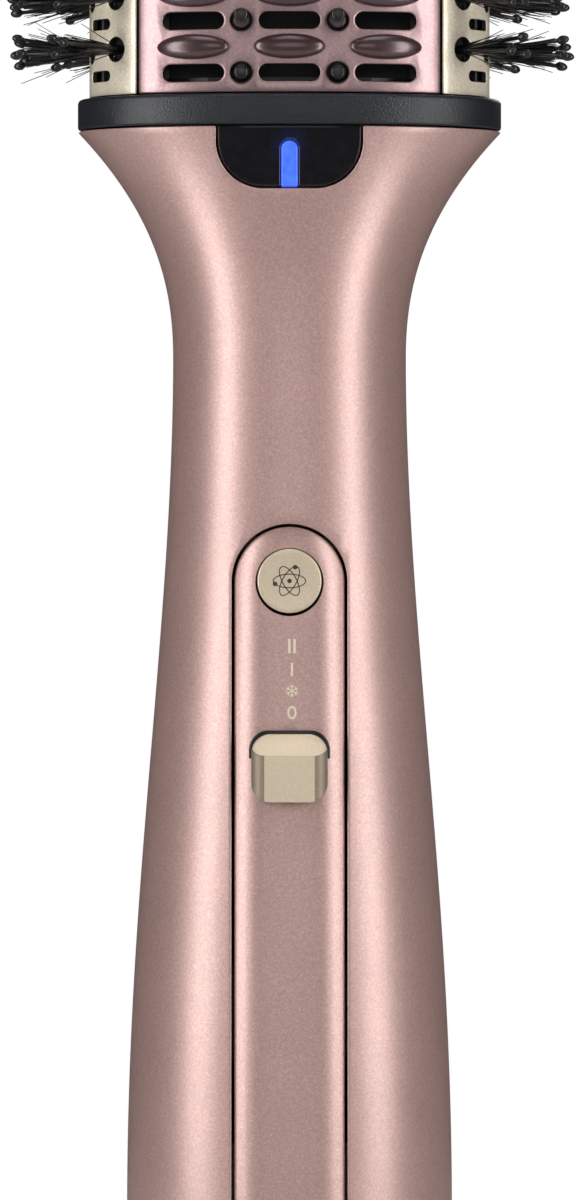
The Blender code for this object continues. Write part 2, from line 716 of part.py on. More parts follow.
def make_pin_strip(name, x, side):
    """A backing strip with a row of pins that pass through the panel. The pin by the collar is a short one."""
    seat = PANEL_WALL + GAP
    surface = panel_y(x, side, seat)
    near = surface - side * GAP
    half = PIN_STRIP_WIDTH / 2
    ys = sorted((near, near - side * PIN_STRIP_DEPTH))
    strip = box(name, (x - half, ys[0], HEAD_BOTTOM + MM), (x + half, ys[1], HEAD_TOP - MM), NYLON)
    pins = []
    for i, z in enumerate(SLOT_ROWS):
        length = SHORT_PIN_LENGTH if i == 0 else PIN_LENGTH
        rings = []
        for reach, radius in ((-PIN_ROOT_LENGTH, PIN_RADIUS), (length, PIN_RADIUS * 0.8)):
            y = panel_y(x, side) + side * reach
            rings.append([(x + radius * cos(2 * pi * j / 5), y, z + radius * sin(2 * pi * j / 5)) for j in range(5)])
        pins.append(rings)
    join(strip, skins(name + "_pins", pins))
    return strip


def tube_along(start, direction, stations, sides):
    """Rings along a direction: stations are (distance, radius)."""
    turn = direction.to_track_quat("Z", "Y").to_matrix()
    rings = []
    for distance, radius in stations:
        ring = []
        for i in range(sides):
            around = Vector((radius * cos(2 * pi * i / sides), radius * sin(2 * pi * i / sides), 0))
            ring.append(start + direction * distance + turn @ around)
        rings.append(ring)
    return rings


def make_side_shell(name, hand):
    """Gold side of the head, with round holes for the tufts and air slots between them."""
    edge = head_angle(PANEL_WIDTH / 2 + SEAM)
    first, second = (radians(degrees) for degrees in TUFT_ANGLES[:2])
    hole_share = TUFT_HOLE_RADIUS / (HEAD_WIDTH / 3)
    folds = [edge, first - hole_share, (first + second) / 2, pi / 2]
    folds += [pi - angle for angle in reversed(folds[:-1])]
    angles = [hand * angle for angle in folds]
    shell = skin(name, arc_body(angles, 0, SIDE_WALL, HEAD_BOTTOM, HEAD_TOP), GOLD_METAL)
    holes = []
    for degrees in TUFT_ANGLES:
        angle = hand * radians(degrees)
        for z in DOME_ROWS:
            centre = Vector((*head_point(angle), z))
            stations = ((-3 * MM, TUFT_HOLE_RADIUS), (3 * MM, TUFT_HOLE_RADIUS))
            holes.append(tube_along(centre, head_normal(angle), stations, 6))
    cut(shell, skins(name + "_tuft_holes", holes))
    slots = []
    for low_angle, high_angle in (SIDE_SLOT_ANGLES, tuple(180 - a for a in SIDE_SLOT_ANGLES[::-1])):
        for z in SLOT_ROWS:
            ends = [hand * radians(angle) for angle in (low_angle, high_angle)]
            half = SIDE_SLOT_HEIGHT / 2
            slots.append(arc_body(ends, -2 * MM, 6 * MM, z - half, z + half))
    cut(shell, skins(name + "_slots", slots))
    return shell


def make_bristle_strip(name, degrees, hand):
    """A backing strip inside the gold shell with a column of flared bristle tufts."""
    angle = hand * radians(degrees)
    out = head_normal(angle)
    seat = SIDE_WALL + GAP
    face = Vector((*head_point(angle), 0)) - out * (seat + GAP)
    across = Vector((-out.y, out.x, 0))
    half = TUFT_STRIP_WIDTH / 2
    corners = [face + across * half, face - across * half]
    corners += [corner - out * TUFT_STRIP_DEPTH for corner in reversed(corners)]
    rings = [[corner + Vector((0, 0, z)) for corner in corners] for z in (HEAD_BOTTOM + MM, HEAD_TOP - MM)]
    strip = skin(name, rings, NYLON)
    tufts = []
    for z in DOME_ROWS:
        centre = Vector((*head_point(angle), z))
        stations = ((-2 * MM, TUFT_ROOT_RADIUS), (TUFT_LENGTH, TUFT_TIP_RADIUS))
        tufts.append(tube_along(centre, out, stations, 4))
    join(strip, skins(name + "_tufts", tufts))
    return strip


def make_head_frame():
    """Black inner frame: a ring at each end of the head, two webs and a plate that parts the air between them."""
    inset = PANEL_WALL + 2 * GAP
    half_width = HEAD_WIDTH / 2 - FRAME_SIDE_CLEARANCE
    half_depth = HEAD_DEPTH / 2 - FRAME_FRONT_CLEARANCE
    height = FRAME_RING_HEIGHT
    low = HEAD_BOTTOM + inset / 4
    rings = []
    for share, z in ((1, low), (1, low + height), (FRAME_OPENING, low + height), (FRAME_OPENING, low)):
        rings.append(oval_ring(half_width * share, half_depth * share, HEAD_ROUNDNESS, z))
    frame = skin("head_frame", rings, CHARCOAL, closed=True)
    high = HEAD_TOP - inset / 4
    top = [oval_ring(half_width, half_depth, HEAD_ROUNDNESS, z) for z in (high - height, high)]
    join(frame, skin("frame_top", top))
    web = half_width * FRAME_WEB_PLACE
    reach = half_depth * FRAME_WEB_PLACE
    foot = low + height / 2
    head = high - height / 2
    for hand, tag in ((-1, "left"), (1, "right")):
        xs = sorted((hand * web, hand * (web + FRAME_WALL)))
        join(frame, box("frame_web_" + tag, (xs[0], -reach, foot), (xs[1], reach, head)))
    plate = half_width * 0.97
    half_wall = FRAME_WALL / 2
    join(frame, box("frame_plate", (-plate, -half_wall, foot), (plate, half_wall, head)))
    return frame


def make_head_cap():
    """Rounded end cap with a shallow dish in its top."""
    z = HEAD_TOP + GAP
    half_width = HEAD_WIDTH / 2
    half_depth = HEAD_DEPTH / 2
    dish = 0.5
    levels = [(0.0, 0.0), (0.3, 0.0)]
    levels += [(0.3 + 0.7 * sin(radians(a)), 6.5 * MM * (1 - cos(radians(a)))) for a in (30, 55, 75)]
    rings = [
        oval_ring(half_width - inset, half_depth - inset, HEAD_ROUNDNESS, z + share * CAP_HEIGHT)
        for share, inset in levels
    ]
    top = levels[-1][0] * CAP_HEIGHT
    rim = levels[-1][1]
    rings.append(oval_ring(half_width * dish, half_depth * dish, HEAD_ROUNDNESS, z + top + 0.3 * MM))
    rings.append(oval_ring(half_width * dish - MM, half_depth * dish - MM, HEAD_ROUNDNESS, z + top - 0.4 * MM))
    return skin("head_end_cap", rings, CHARCOAL)


# ---------------------------------------------------------------- base

def make_base_cap():
    """Cup under the handle with an air grille in its floor and a bore for the cord swivel."""
    top = HANDLE_BOTTOM - GAP
    floor = BASE_FLOOR
    bore = SWIVEL_RADIUS + SWIVEL_CLEARANCE
    wide, deep = handle_half_sizes(HANDLE_BOTTOM)
    rings = []
    for inset, z in (
        (BASE_ROUNDING, 0),
        (BASE_ROUNDING * 0.3, BASE_ROUNDING * 0.3),
        (0, BASE_ROUNDING),
        (0, top),
        (SHELL_WALL, top),
        (SHELL_WALL, floor),
    ):
        rings.append(oval_ring(wide - inset, deep - inset, HANDLE_ROUNDNESS, z))
    rings.append(oval_ring(bore, bore, 2, floor))
    rings.append(oval_ring(bore, bore, 2, 0))
    cap = skin("base_cap", rings, CHARCOAL, closed=True)
    slots = []
    for i in range(GRILLE_SLOTS):
        angle = 2 * pi * (i + 0.5) / GRILLE_SLOTS
        out = Vector((sin(angle), -cos(angle), 0))
        across = Vector((out.y, -out.x, 0)) * GRILLE_SLOT_WIDTH / 2
        near, far = (out * reach for reach in GRILLE_RING)
        corners = [near - across, far - across, far + across, near + across]
        slots.append([[c + Vector((0, 0, z)) for c in corners] for z in (-MM, floor + MM)])
    cut(cap, skins("grille_slots", slots))
    return cap


def make_cord_swivel():
    """Sleeve that turns in the base and guides the cord. Its origin is on its turning axis."""
    floor = BASE_FLOOR + SWIVEL_CLEARANCE
    flange_top = floor + SWIVEL_FLANGE
    top = flange_top + SWIVEL_NECK_LENGTH
    flange = SWIVEL_RADIUS + SWIVEL_FLANGE_REACH
    neck = CORD_BORE_RADIUS + SWIVEL_NECK_WALL
    profile = [
        (CORD_BORE_RADIUS, top),
        (neck, top),
        (neck, flange_top),
        (flange, flange_top),
        (flange, floor),
        (SWIVEL_RADIUS, floor),
        (SWIVEL_RADIUS, 1.4 * MM),
        (SWIVEL_RADIUS - 0.8 * MM, 0.6 * MM),
        (CORD_BORE_RADIUS + MM, 0.6 * MM),
        (CORD_BORE_RADIUS, 1.6 * MM),
    ]
    return turned("cord_swivel", profile, RUBBER)


def make_swivel_retainer():
    """Ring that holds the swivel's flange down."""
    flange_top = BASE_FLOOR + SWIVEL_CLEARANCE + SWIVEL_FLANGE
    low = flange_top + SWIVEL_CLEARANCE
    high = low + RETAINER_THICKNESS
    inner = CORD_BORE_RADIUS + SWIVEL_NECK_WALL + SWIVEL_CLEARANCE
    outer = SWIVEL_RADIUS + RETAINER_REACH
    profile = [(inner, high), (outer, high), (outer, low), (inner, low)]
    return turned("swivel_retainer", profile, GREY_PLASTIC)


def make_inlet_filter():
    """Lint screen across the air inlet, over the grille."""
    low = HANDLE_BOTTOM + FILTER_LIFT
    high = low + FILTER_THICKNESS
    wide, deep = handle_half_sizes(low, SHELL_WALL + 2 * GAP)
    inner = SWIVEL_RADIUS
    rings = [oval_ring(wide, deep, HANDLE_ROUNDNESS, z) for z in (low, high)]
    rings += [oval_ring(inner, inner, 2, z) for z in (high, low)]
    return skin("inlet_filter", rings, STEEL, closed=True)


# ---------------------------------------------------------------- fan and motor

def make_fan_impeller():
    """Axial fan: a rounded hub with swept blades. Its origin is on the shaft's axis."""
    hub = FAN_HUB_RADIUS
    bore = SHAFT_RADIUS + GAP
    profile = [
        (bore, FAN_HEIGHT),
        (hub, FAN_HEIGHT),
        (hub, 3 * MM),
        (hub * 0.7, 0.8 * MM),
        (bore, 0),
    ]
    fan = turned("fan_impeller", profile, GREY_PLASTIC, 14, (0, 0, FAN_Z))
    blades = []
    for i in range(FAN_BLADES):
        base = 2 * pi * i / FAN_BLADES
        rings = []
        for radius, half_sweep in ((hub - 0.8 * MM, 0.38), (FAN_RADIUS, 0.26)):
            thick = BLADE_THICKNESS / radius
            low = FAN_Z + 3.4 * MM
            high = FAN_Z + FAN_HEIGHT - 1.0 * MM
            corners = (
                (base - half_sweep, low),
                (base - half_sweep + thick, low),
                (base + half_sweep + thick, high),
                (base + half_sweep, high),
            )
            rings.append([(radius * cos(a), radius * sin(a), z) for a, z in corners])
        blades.append(rings)
    join(fan, skins("fan_blades", blades))
    return fan


def make_fan_shroud():
    inner = FAN_RADIUS + SHROUD_CLEARANCE
    outer = inner + SHROUD_WALL
    low = FAN_Z - 3 * MM
    high = FAN_Z + FAN_HEIGHT + 2 * MM
    profile = [(inner, high), (outer, high), (outer, low), (inner + 0.6 * MM, low)]
    return turned("fan_shroud", profile, GREY_PLASTIC, 20)


def make_motor():
    end = MOTOR_Z + MOTOR_LENGTH
    bore = SHAFT_RADIUS + GAP
    boss = MOTOR_BOSS_RADIUS
    profile = [
        (0, end + MOTOR_BOSS_HEIGHT),
        (boss, end + MOTOR_BOSS_HEIGHT),
        (boss, end),
        (MOTOR_RADIUS - MM, end),
        (MOTOR_RADIUS, end - MM),
        (MOTOR_RADIUS, MOTOR_Z),
        (boss, MOTOR_Z),
        (boss, MOTOR_Z - MOTOR_BOSS_HEIGHT),
        (bore, MOTOR_Z - MOTOR_BOSS_HEIGHT),
        (bore, MOTOR_Z + MOTOR_BORE_DEPTH),
        (0, MOTOR_Z + MOTOR_BORE_DEPTH),
    ]
    return turned("motor_body", profile, STEEL)


def make_motor_shaft():
    low = FAN_Z + 1.0 * MM
    high = MOTOR_Z + MOTOR_BORE_DEPTH - 0.5 * MM
    profile = [(0, high), (SHAFT_RADIUS, high), (SHAFT_RADIUS, low), (0, low)]
    return turned("motor_shaft", profile, STEEL, 10)


def make_motor_cradle():
    """Ring round the motor with four fins that stand on the handle's wall and straighten the air."""
    inner = MOTOR_RADIUS + GAP
    outer = inner + CRADLE_WALL
    low = MOTOR_Z + CRADLE_SPAN[0]
    high = MOTOR_Z + CRADLE_SPAN[1]
    profile = [(inner, high), (outer, high), (outer, low), (inner, low)]
    cradle = turned("motor_cradle", profile, GREY_PLASTIC)
    reach = min(handle_half_sizes(high, SHELL_WALL + 2 * GAP)) * 0.96
    for i, degrees in enumerate((45, 135, 225, 315)):
        half = CRADLE_WALL / 2
        fin = box(f"cradle_fin_{i}", (inner + half, -half, low + MM), (reach, half, high - MM))
        fin.rotation_euler.z = radians(degrees)
        join(cradle, fin)
    return cradle


# ---------------------------------------------------------------- electronics

def make_control_board():
    low = KNOB_BOTTOM - 10 * MM
    high = BUTTON_Z + 7 * MM
    half = BOARD_WIDTH / 2
    return box("control_board", (-half, BOARD_FRONT, low), (half, BOARD_FRONT + BOARD_THICKNESS, high), GREEN_BOARD)


def make_slide_switch(shutter_back):
    low = KNOB_BOTTOM - 4 * MM
    high = KNOB_BOTTOM + 16 * MM
    front = shutter_back + 2 * GAP
    half = SLIDE_SWITCH_WIDTH / 2
    return box("slide_switch", (-half, front, low), (half, BOARD_FRONT - GAP, high), GREY_PLASTIC)


def make_ion_switch(button_back):
    half = ION_SWITCH_WIDTH / 2
    front = button_back + BUTTON_TRAVEL + GAP
    low = (-half, front, BUTTON_Z - half)
    return box("ion_switch", low, (half, BOARD_FRONT - GAP, BUTTON_Z + half), GREY_PLASTIC)


def make_ion_generator():
    low = Vector(ION_GENERATOR_LOW)
    return box("ion_generator", low, low + Vector(ION_GENERATOR_SIZE), RUBBER)


def make_ion_needle():
    """Emitter needle beside the heater, with its insulating holder."""
    profile = [
        (0, 14 * MM),
        (0.4 * MM, 12 * MM),
        (0.4 * MM, 6 * MM),
        (1.6 * MM, 6 * MM),
        (1.6 * MM, 0),
        (0, 0),
    ]
    return turned("ion_emitter", profile, STEEL, 8, (EMITTER_X, 0, HANDLE_TOP - EMITTER_BELOW_TOP))


# ---------------------------------------------------------------- heater

def make_heater_sleeve():
    outer = HEATER_RADIUS
    inner = outer - SLEEVE_WALL
    high = HEATER_Z + HEATER_LENGTH
    profile = [(inner, high), (outer, high), (outer, HEATER_Z), (inner, HEATER_Z)]
    return turned("heater_sleeve", profile, MICA_SHEET, 20)


def make_mica_cross():
    """Two crossed mica boards that hold the heating coil."""
    reach = COIL_RADIUS - COIL_WIRE_RADIUS - GAP
    low = HEATER_Z + MICA_MARGIN
    high = HEATER_Z + HEATER_LENGTH - MICA_MARGIN
    cross = box("mica_cross", (-reach, -MICA / 2, low), (reach, MICA / 2, high), MICA_SHEET)
    join(cross, box("mica_board", (-MICA / 2, -reach, low), (MICA / 2, reach, high)))
    return cross


def make_heater_coil():
    curve = bpy.data.curves.new("heater_coil", "CURVE")
    curve.dimensions = "3D"
    curve.bevel_depth = COIL_WIRE_RADIUS
    curve.bevel_resolution = 0
    curve.use_fill_caps = True
    per_turn = 8
    count = COIL_TURNS * per_turn + 1
    spline = curve.splines.new("POLY")
    spline.points.add(count - 1)
    low = HEATER_Z + 5 * MM
    rise = HEATER_LENGTH - 10 * MM
    radius = COIL_RADIUS / cos(pi / per_turn) + 0.1 * MM
    for i, point in enumerate(spline.points):
        angle = 2 * pi * i / per_turn
        point.co = (radius * cos(angle), radius * sin(angle), low + rise * i / (count - 1), 1)
    curve.materials.append(NICHROME)
    coil = bpy.data.objects.new("heater_coil", curve)
    PARTS.objects.link(coil)
    return coil


def make_heater_guards():
    """Thermostat and thermal fuse on the outlet side of the mica boards."""
    z = HEATER_Z + HEATER_LENGTH - MICA_MARGIN + GAP
    box("thermostat", (-5 * MM, -3 * MM, z), (1 * MM, 3 * MM, z + THERMOSTAT_HEIGHT), STEEL)
    profile = [(0, FUSE_LENGTH), (FUSE_RADIUS, FUSE_LENGTH), (FUSE_RADIUS, 0), (0, 0)]
    turned("thermal_fuse", profile, STEEL, 8, (4 * MM, -4.5 * MM, z + 1.8 * MM), radians(-90))


make_handle_front_shell()
make_handle_rear_shell()
make_handle_screws()
make_control_strip()
BUTTON_BACK = make_ion_button()
SHUTTER_BACK = make_slide_carriage()
make_slide_knob()
make_indicator_window()
make_light_pipe()
make_indicator_board()
make_collar_ring()
for label, facing in (("front", -1), ("rear", 1)):
    make_head_panel(f"head_{label}_panel", facing)
    for side_label, across_x in (("left", -SLOT_PITCH / 2), ("right", SLOT_PITCH / 2)):
        make_pin_strip(f"pin_strip_{label}_{side_label}", across_x, facing)
for label, hand in (("left", -1), ("right", 1)):
    make_side_shell(f"head_side_{label}", hand)
    for number, degrees in enumerate(TUFT_ANGLES, 1):
        make_bristle_strip(f"bristle_strip_{label}_{number}", degrees, hand)
make_head_frame()
make_head_cap()
make_base_cap()
make_cord_swivel()
make_swivel_retainer()
make_inlet_filter()
make_fan_impeller()
make_fan_shroud()
make_motor()
make_motor_shaft()
make_motor_cradle()
make_control_board()
make_slide_switch(SHUTTER_BACK)
make_ion_switch(BUTTON_BACK)
make_ion_generator()
make_ion_needle()
make_heater_sleeve()
make_mica_cross()
make_heater_coil()
make_heater_guards()
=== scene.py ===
# %% [markdown]
# # A hot air brush
# The real object is a styling brush that blows warm air. A waisted, satin rose handle holds the fan, the
# heater and the controls. A dark collar joins it to an oval head with air slots, domes, pins and bristles.
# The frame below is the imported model: it fixes every size and place, and each new piece rides on its bodies.

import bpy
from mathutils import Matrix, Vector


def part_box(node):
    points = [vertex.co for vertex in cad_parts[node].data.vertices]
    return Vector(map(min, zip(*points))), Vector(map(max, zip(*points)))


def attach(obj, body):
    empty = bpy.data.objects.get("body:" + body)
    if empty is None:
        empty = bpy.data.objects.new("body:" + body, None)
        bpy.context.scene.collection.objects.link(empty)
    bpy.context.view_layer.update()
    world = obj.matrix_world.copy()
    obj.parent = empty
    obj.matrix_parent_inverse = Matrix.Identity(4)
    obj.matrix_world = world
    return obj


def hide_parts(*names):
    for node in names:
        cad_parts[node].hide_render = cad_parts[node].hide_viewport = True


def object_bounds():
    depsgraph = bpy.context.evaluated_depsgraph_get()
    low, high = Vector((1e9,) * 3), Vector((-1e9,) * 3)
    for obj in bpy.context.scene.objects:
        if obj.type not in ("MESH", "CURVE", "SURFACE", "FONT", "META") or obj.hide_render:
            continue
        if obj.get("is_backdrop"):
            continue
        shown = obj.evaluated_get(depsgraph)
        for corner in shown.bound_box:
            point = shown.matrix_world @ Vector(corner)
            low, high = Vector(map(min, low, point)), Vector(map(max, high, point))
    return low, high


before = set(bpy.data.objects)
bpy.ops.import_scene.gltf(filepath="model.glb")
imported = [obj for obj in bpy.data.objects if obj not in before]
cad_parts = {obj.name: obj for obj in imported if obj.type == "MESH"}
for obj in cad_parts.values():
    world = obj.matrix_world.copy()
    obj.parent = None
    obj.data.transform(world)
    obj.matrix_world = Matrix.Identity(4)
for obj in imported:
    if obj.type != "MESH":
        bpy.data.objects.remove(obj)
cad_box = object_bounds()

# %% Blender's modules and the unit
import random
from math import asin, atan2, cos, pi, radians, sin

import bpy
from mathutils import Matrix, Vector

MM = 0.001
CENTRE = (0, 0, 0)

# %% [markdown]
# ## Camera
# The brush is seen straight from the front with a long lens, so that the handle's two sides look parallel.
# The frame is 198 mm high at the brush, and the far end of the head stays out of it.

# %% Camera
CAMERA_DISTANCE = 1.45
FRAME_HEIGHT = 198 * MM
EYE_HEIGHT = 125.6 * MM
SENSOR = 36

bpy.ops.object.select_all(action="DESELECT")
bpy.ops.object.camera_add(location=(0, -CAMERA_DISTANCE, EYE_HEIGHT), rotation=(pi / 2, 0, 0))
camera = bpy.context.object
camera.name = "camera"
camera.data.sensor_width = SENSOR
camera.data.lens = SENSOR * CAMERA_DISTANCE / FRAME_HEIGHT
bpy.context.scene.camera = camera
print("lens", round(camera.data.lens), "mm")

# %% [markdown]
# ## Light
# Two tall soft boxes stand left and right and a little in front. A satin tube mirrors each of them as one
# long stripe, halfway between its middle and its edge. A weak broad light near the lens fills the middle,
# and one from above picks out what is domed. The room itself is dim, so the handle's edges fall off dark.

# %% Soft boxes
def soft_box(name, place, size, watts, aim=(0, 0, 0.12)):
    bpy.ops.object.light_add(type="AREA", location=place)
    light = bpy.context.object
    light.name = name
    light.data.shape = "RECTANGLE"
    light.data.size = size[0]
    light.data.size_y = size[1]
    light.data.energy = watts
    light.rotation_euler = (Vector(aim) - Vector(place)).to_track_quat("-Z", "Y").to_euler()
    print(name, watts, "watts")


soft_box("light_left", (-0.78, -0.50, 0.14), (0.30, 1.3), 8.8)
soft_box("light_right", (0.77, -0.53, 0.14), (0.30, 1.3), 8.2)
soft_box("light_lens", (0, -1.7, 0.45), (0.9, 0.7), 2.7)
soft_box("light_top", (0, -0.28, 1.0), (0.7, 0.5), 2.4)
soft_box("light_back", (0.3, 1.5, 0.75), (0.9, 0.6), 4, aim=(0, 0, 0.05))

# %% [markdown]
# The sky is white where the lens looks at it and dim grey for everything that is lit by it. That keeps the
# backdrop clean without washing out the edges.

# %% Sky and floor
ROOM_GREY = 0.035
FLOOR_RADIUS = 0.36
FLOOR_Z = -1 * MM

world = bpy.data.worlds.new("studio")
bpy.context.scene.world = world
world.use_nodes = True
sky = world.node_tree
seen = sky.nodes.new("ShaderNodeBackground")
seen.inputs["Color"].default_value = (1, 1, 1, 1)
room = sky.nodes["Background"]
room.inputs["Color"].default_value = (ROOM_GREY, ROOM_GREY, ROOM_GREY, 1)
ray = sky.nodes.new("ShaderNodeLightPath")
either = sky.nodes.new("ShaderNodeMixShader")
sky.links.new(ray.outputs["Is Camera Ray"], either.inputs["Fac"])
sky.links.new(room.outputs["Background"], either.inputs[1])
sky.links.new(seen.outputs["Background"], either.inputs[2])
sky.links.new(either.outputs["Shader"], sky.nodes["World Output"].inputs["Surface"])
bpy.context.scene.view_settings.view_transform = "Standard"

bpy.ops.mesh.primitive_circle_add(
    vertices=96, radius=FLOOR_RADIUS, fill_type="NGON", location=(0, 0, FLOOR_Z)
)
floor = bpy.context.object
floor.name = "floor"
floor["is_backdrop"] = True
print("a round floor,", round(2 * FLOOR_RADIUS / MM), "mm across")

# %% [markdown]
# ## Finishes
# A moulded or painted surface is never one flat colour. Each finish starts from the Principled shader and
# takes its colour from a fine noise and its relief from a bump. All patterns read Object coordinates, in
# metres, so a scale of 4000 makes cells of a quarter of a millimetre.

# %% Helpers for nodes
def new_finish(name, roughness, metallic=0.0, coat=0.0, coat_roughness=0.1):
    material = bpy.data.materials.new(name)
    material.use_nodes = True
    shader = material.node_tree.nodes["Principled BSDF"]
    shader.inputs["Roughness"].default_value = roughness
    shader.inputs["Metallic"].default_value = metallic
    shader.inputs["Coat Weight"].default_value = coat
    shader.inputs["Coat Roughness"].default_value = coat_roughness
    return material, material.node_tree, shader


def pattern(tree, kind, scale, **settings):
    """A texture node on Object coordinates."""
    place = tree.nodes.get("Texture Coordinate") or tree.nodes.new("ShaderNodeTexCoord")
    texture = tree.nodes.new(kind)
    texture.inputs["Scale"].default_value = scale
    for key, value in settings.items():
        texture.inputs[key.replace("_", " ").title()].default_value = value
    tree.links.new(place.outputs["Object"], texture.inputs["Vector"])
    return texture


def ramp(tree, source, stops):
    """Turns a grey value into the colours of the stops, (place, colour) each."""
    node = tree.nodes.new("ShaderNodeValToRGB")
    while len(node.color_ramp.elements) < len(stops):
        node.color_ramp.elements.new(0.5)
    for element, (place, colour) in zip(node.color_ramp.elements, stops):
        element.position = place
        element.color = (*colour, 1)
    tree.links.new(source, node.inputs["Fac"])
    return node.outputs["Color"]


def mix(tree, amount, first, second, blend="MIX"):
    node = tree.nodes.new("ShaderNodeMix")
    node.data_type = "RGBA"
    node.blend_type = blend
    for socket, value in ((node.inputs["Factor"], amount), (node.inputs[6], first), (node.inputs[7], second)):
        if isinstance(value, bpy.types.NodeSocket):
            tree.links.new(value, socket)
        else:
            socket.default_value = value
    return node.outputs[2]


def bump(tree, shader, height, depth, strength=1.0, after=None):
    node = tree.nodes.new("ShaderNodeBump")
    node.inputs["Strength"].default_value = strength
    node.inputs["Distance"].default_value = depth
    tree.links.new(height, node.inputs["Height"])
    if after:
        tree.links.new(after, node.inputs["Normal"])
    tree.links.new(node.outputs["Normal"], shader.inputs["Normal"])
    return node.outputs["Normal"]


def spread(colour, amount):
    """The colour darker and lighter by a share."""
    dark = tuple(c * (1 - amount) for c in colour)
    light = tuple(min(c * (1 + amount), 1) for c in colour)
    return dark, light


# %% [markdown]
# ** Metallic paint and plate.** Fine flakes lie at random tilts under a satin lacquer. Voronoi cells give
# each flake its own grey, and on the few brightest cells a painted glint lightens the colour, in place of
# flakes that catch the light. The same cells drive a weak bump, so that flakes catch the light one by one.

# %% Flake finish
def flake_finish(name, colour, roughness, metallic, flake, grain=0.14, painted_sparkle=0.28, coat=0.0, relief=0.005):
    material, tree, shader = new_finish(name, roughness, metallic, coat, 0.3)
    flakes = pattern(tree, "ShaderNodeTexVoronoi", 1 / flake)
    cloud = pattern(tree, "ShaderNodeTexNoise", 0.45 / flake, detail=3)
    drift = pattern(tree, "ShaderNodeTexNoise", 90, detail=2)
    dark, light = spread(colour, grain)
    body = ramp(tree, cloud.outputs["Fac"], ((0.3, dark), (0.7, light)))
    slow = ramp(tree, drift.outputs["Fac"], ((0.3, (0.95,) * 3), (0.7, (1, 1, 1))))
    body = mix(tree, 1.0, body, slow, "MULTIPLY")
    grey = tree.nodes.new("ShaderNodeSeparateColor")
    tree.links.new(flakes.outputs["Color"], grey.inputs["Color"])
    # Painted glint: a few cells get a much lighter colour, as if their flakes caught the light.
    painted_glint = ramp(tree, grey.outputs["Red"], ((0.86, (0, 0, 0)), (0.96, (painted_sparkle,) * 3)))
    painted_glint_colour = tuple(min(c * 1.5 + 0.08, 1) for c in colour)
    tree.links.new(mix(tree, painted_glint, body, (*painted_glint_colour, 1)), shader.inputs["Base Color"])
    rough = ramp(tree, grey.outputs["Green"], ((0, (roughness * 0.85,) * 3), (1, (roughness * 1.15,) * 3)))
    tree.links.new(rough, shader.inputs["Roughness"])
    bump(tree, shader, grey.outputs["Blue"], relief * MM)
    return material


ROSE_PAINT = flake_finish("rose_paint", (0.49, 0.31, 0.28), 0.40, 0.45, 0.17 * MM, coat=0.6)
ROSE_PLATE = flake_finish("rose_plate", (0.42, 0.275, 0.28), 0.36, 0.65, 0.17 * MM, coat=0.2)
DOME_PLUM = flake_finish("dome_plum", (0.075, 0.036, 0.040), 0.22, 0.4, 0.17 * MM, painted_sparkle=0.15, coat=0.8)
GOLD = flake_finish("gold_metal", (0.84, 0.74, 0.58), 0.36, 0.35, 0.17 * MM)
CHAMPAGNE = flake_finish("champagne", (0.68, 0.565, 0.42), 0.42, 0.5, 0.15 * MM, grain=0.06, painted_sparkle=0.10)
# Painted shade: a darker champagne for the knob's sloping flanks.
CHAMPAGNE_PAINTED_SHADE = flake_finish(
    "champagne_painted_shade", (0.27, 0.215, 0.155), 0.5, 0.4, 0.15 * MM, grain=0.08, painted_sparkle=0.08
)
print("flake finishes ready")

# %% [markdown]
# **Moulded plastics.** A tool's spark-eroded wall leaves a fine grain on the part. One noise gives the grain
# its relief and another, slower one changes the gloss a little, as handling does.

# %% Grained finish
def grained_finish(name, colour, roughness, grain, relief=0.02, metallic=0.0, contrast=0.18, coat=0.0):
    material, tree, shader = new_finish(name, roughness, metallic, coat)
    fine = pattern(tree, "ShaderNodeTexNoise", 1 / grain, detail=3)
    slow = pattern(tree, "ShaderNodeTexNoise", 120, detail=2)
    dark, light = spread(colour, contrast)
    body = ramp(tree, fine.outputs["Fac"], ((0.35, dark), (0.65, light)))
    tree.links.new(body, shader.inputs["Base Color"])
    low, high = (roughness * 0.88,) * 3, (min(roughness * 1.12, 1),) * 3
    tree.links.new(ramp(tree, slow.outputs["Fac"], ((0.3, low), (0.7, high))), shader.inputs["Roughness"])
    bump(tree, shader, fine.outputs["Fac"], relief * MM)
    return material


CHARCOAL = grained_finish("charcoal_plastic", (0.012, 0.014, 0.017), 0.36, 0.28 * MM, 0.08)
CHARCOAL.node_tree.nodes["Principled BSDF"].inputs["Specular IOR Level"].default_value = 0.45
NYLON = grained_finish("black_nylon", (0.006, 0.006, 0.007), 0.30, 0.5 * MM, 0.03)
GLOSS_BLACK = grained_finish("gloss_black", (0.008, 0.008, 0.010), 0.10, 1.5 * MM, 0.002, coat=0.5)
FRAME_BLACK = grained_finish("black_frame_plastic", (0.015, 0.015, 0.017), 0.45, 0.4 * MM)
RUBBER = grained_finish("swivel_rubber", (0.016, 0.016, 0.017), 0.7, 0.3 * MM)
GREY = grained_finish("grey_plastic", (0.22, 0.22, 0.23), 0.5, 0.4 * MM)
POTTING = grained_finish("potting", (0.02, 0.02, 0.025), 0.3, 2.0 * MM, 0.05)
PRINT_DARK = grained_finish("print_dark", (0.035, 0.028, 0.022), 0.5, 0.15 * MM)
PRINT_CREAM = grained_finish("print_cream", (0.72, 0.62, 0.47), 0.5, 0.15 * MM, contrast=0.08)
STUDIO_WHITE = grained_finish("studio_white", (0.86, 0.86, 0.86), 0.8, 8 * MM, 0.01, contrast=0.01)
floor.data.materials.append(STUDIO_WHITE)

# %% [markdown]
# **What is inside.** Steel is turned, so its grain runs round the axis. Mica is leafy. The board carries
# copper lines under a green lacquer, and the heating wire has a dark oxide that varies along it.

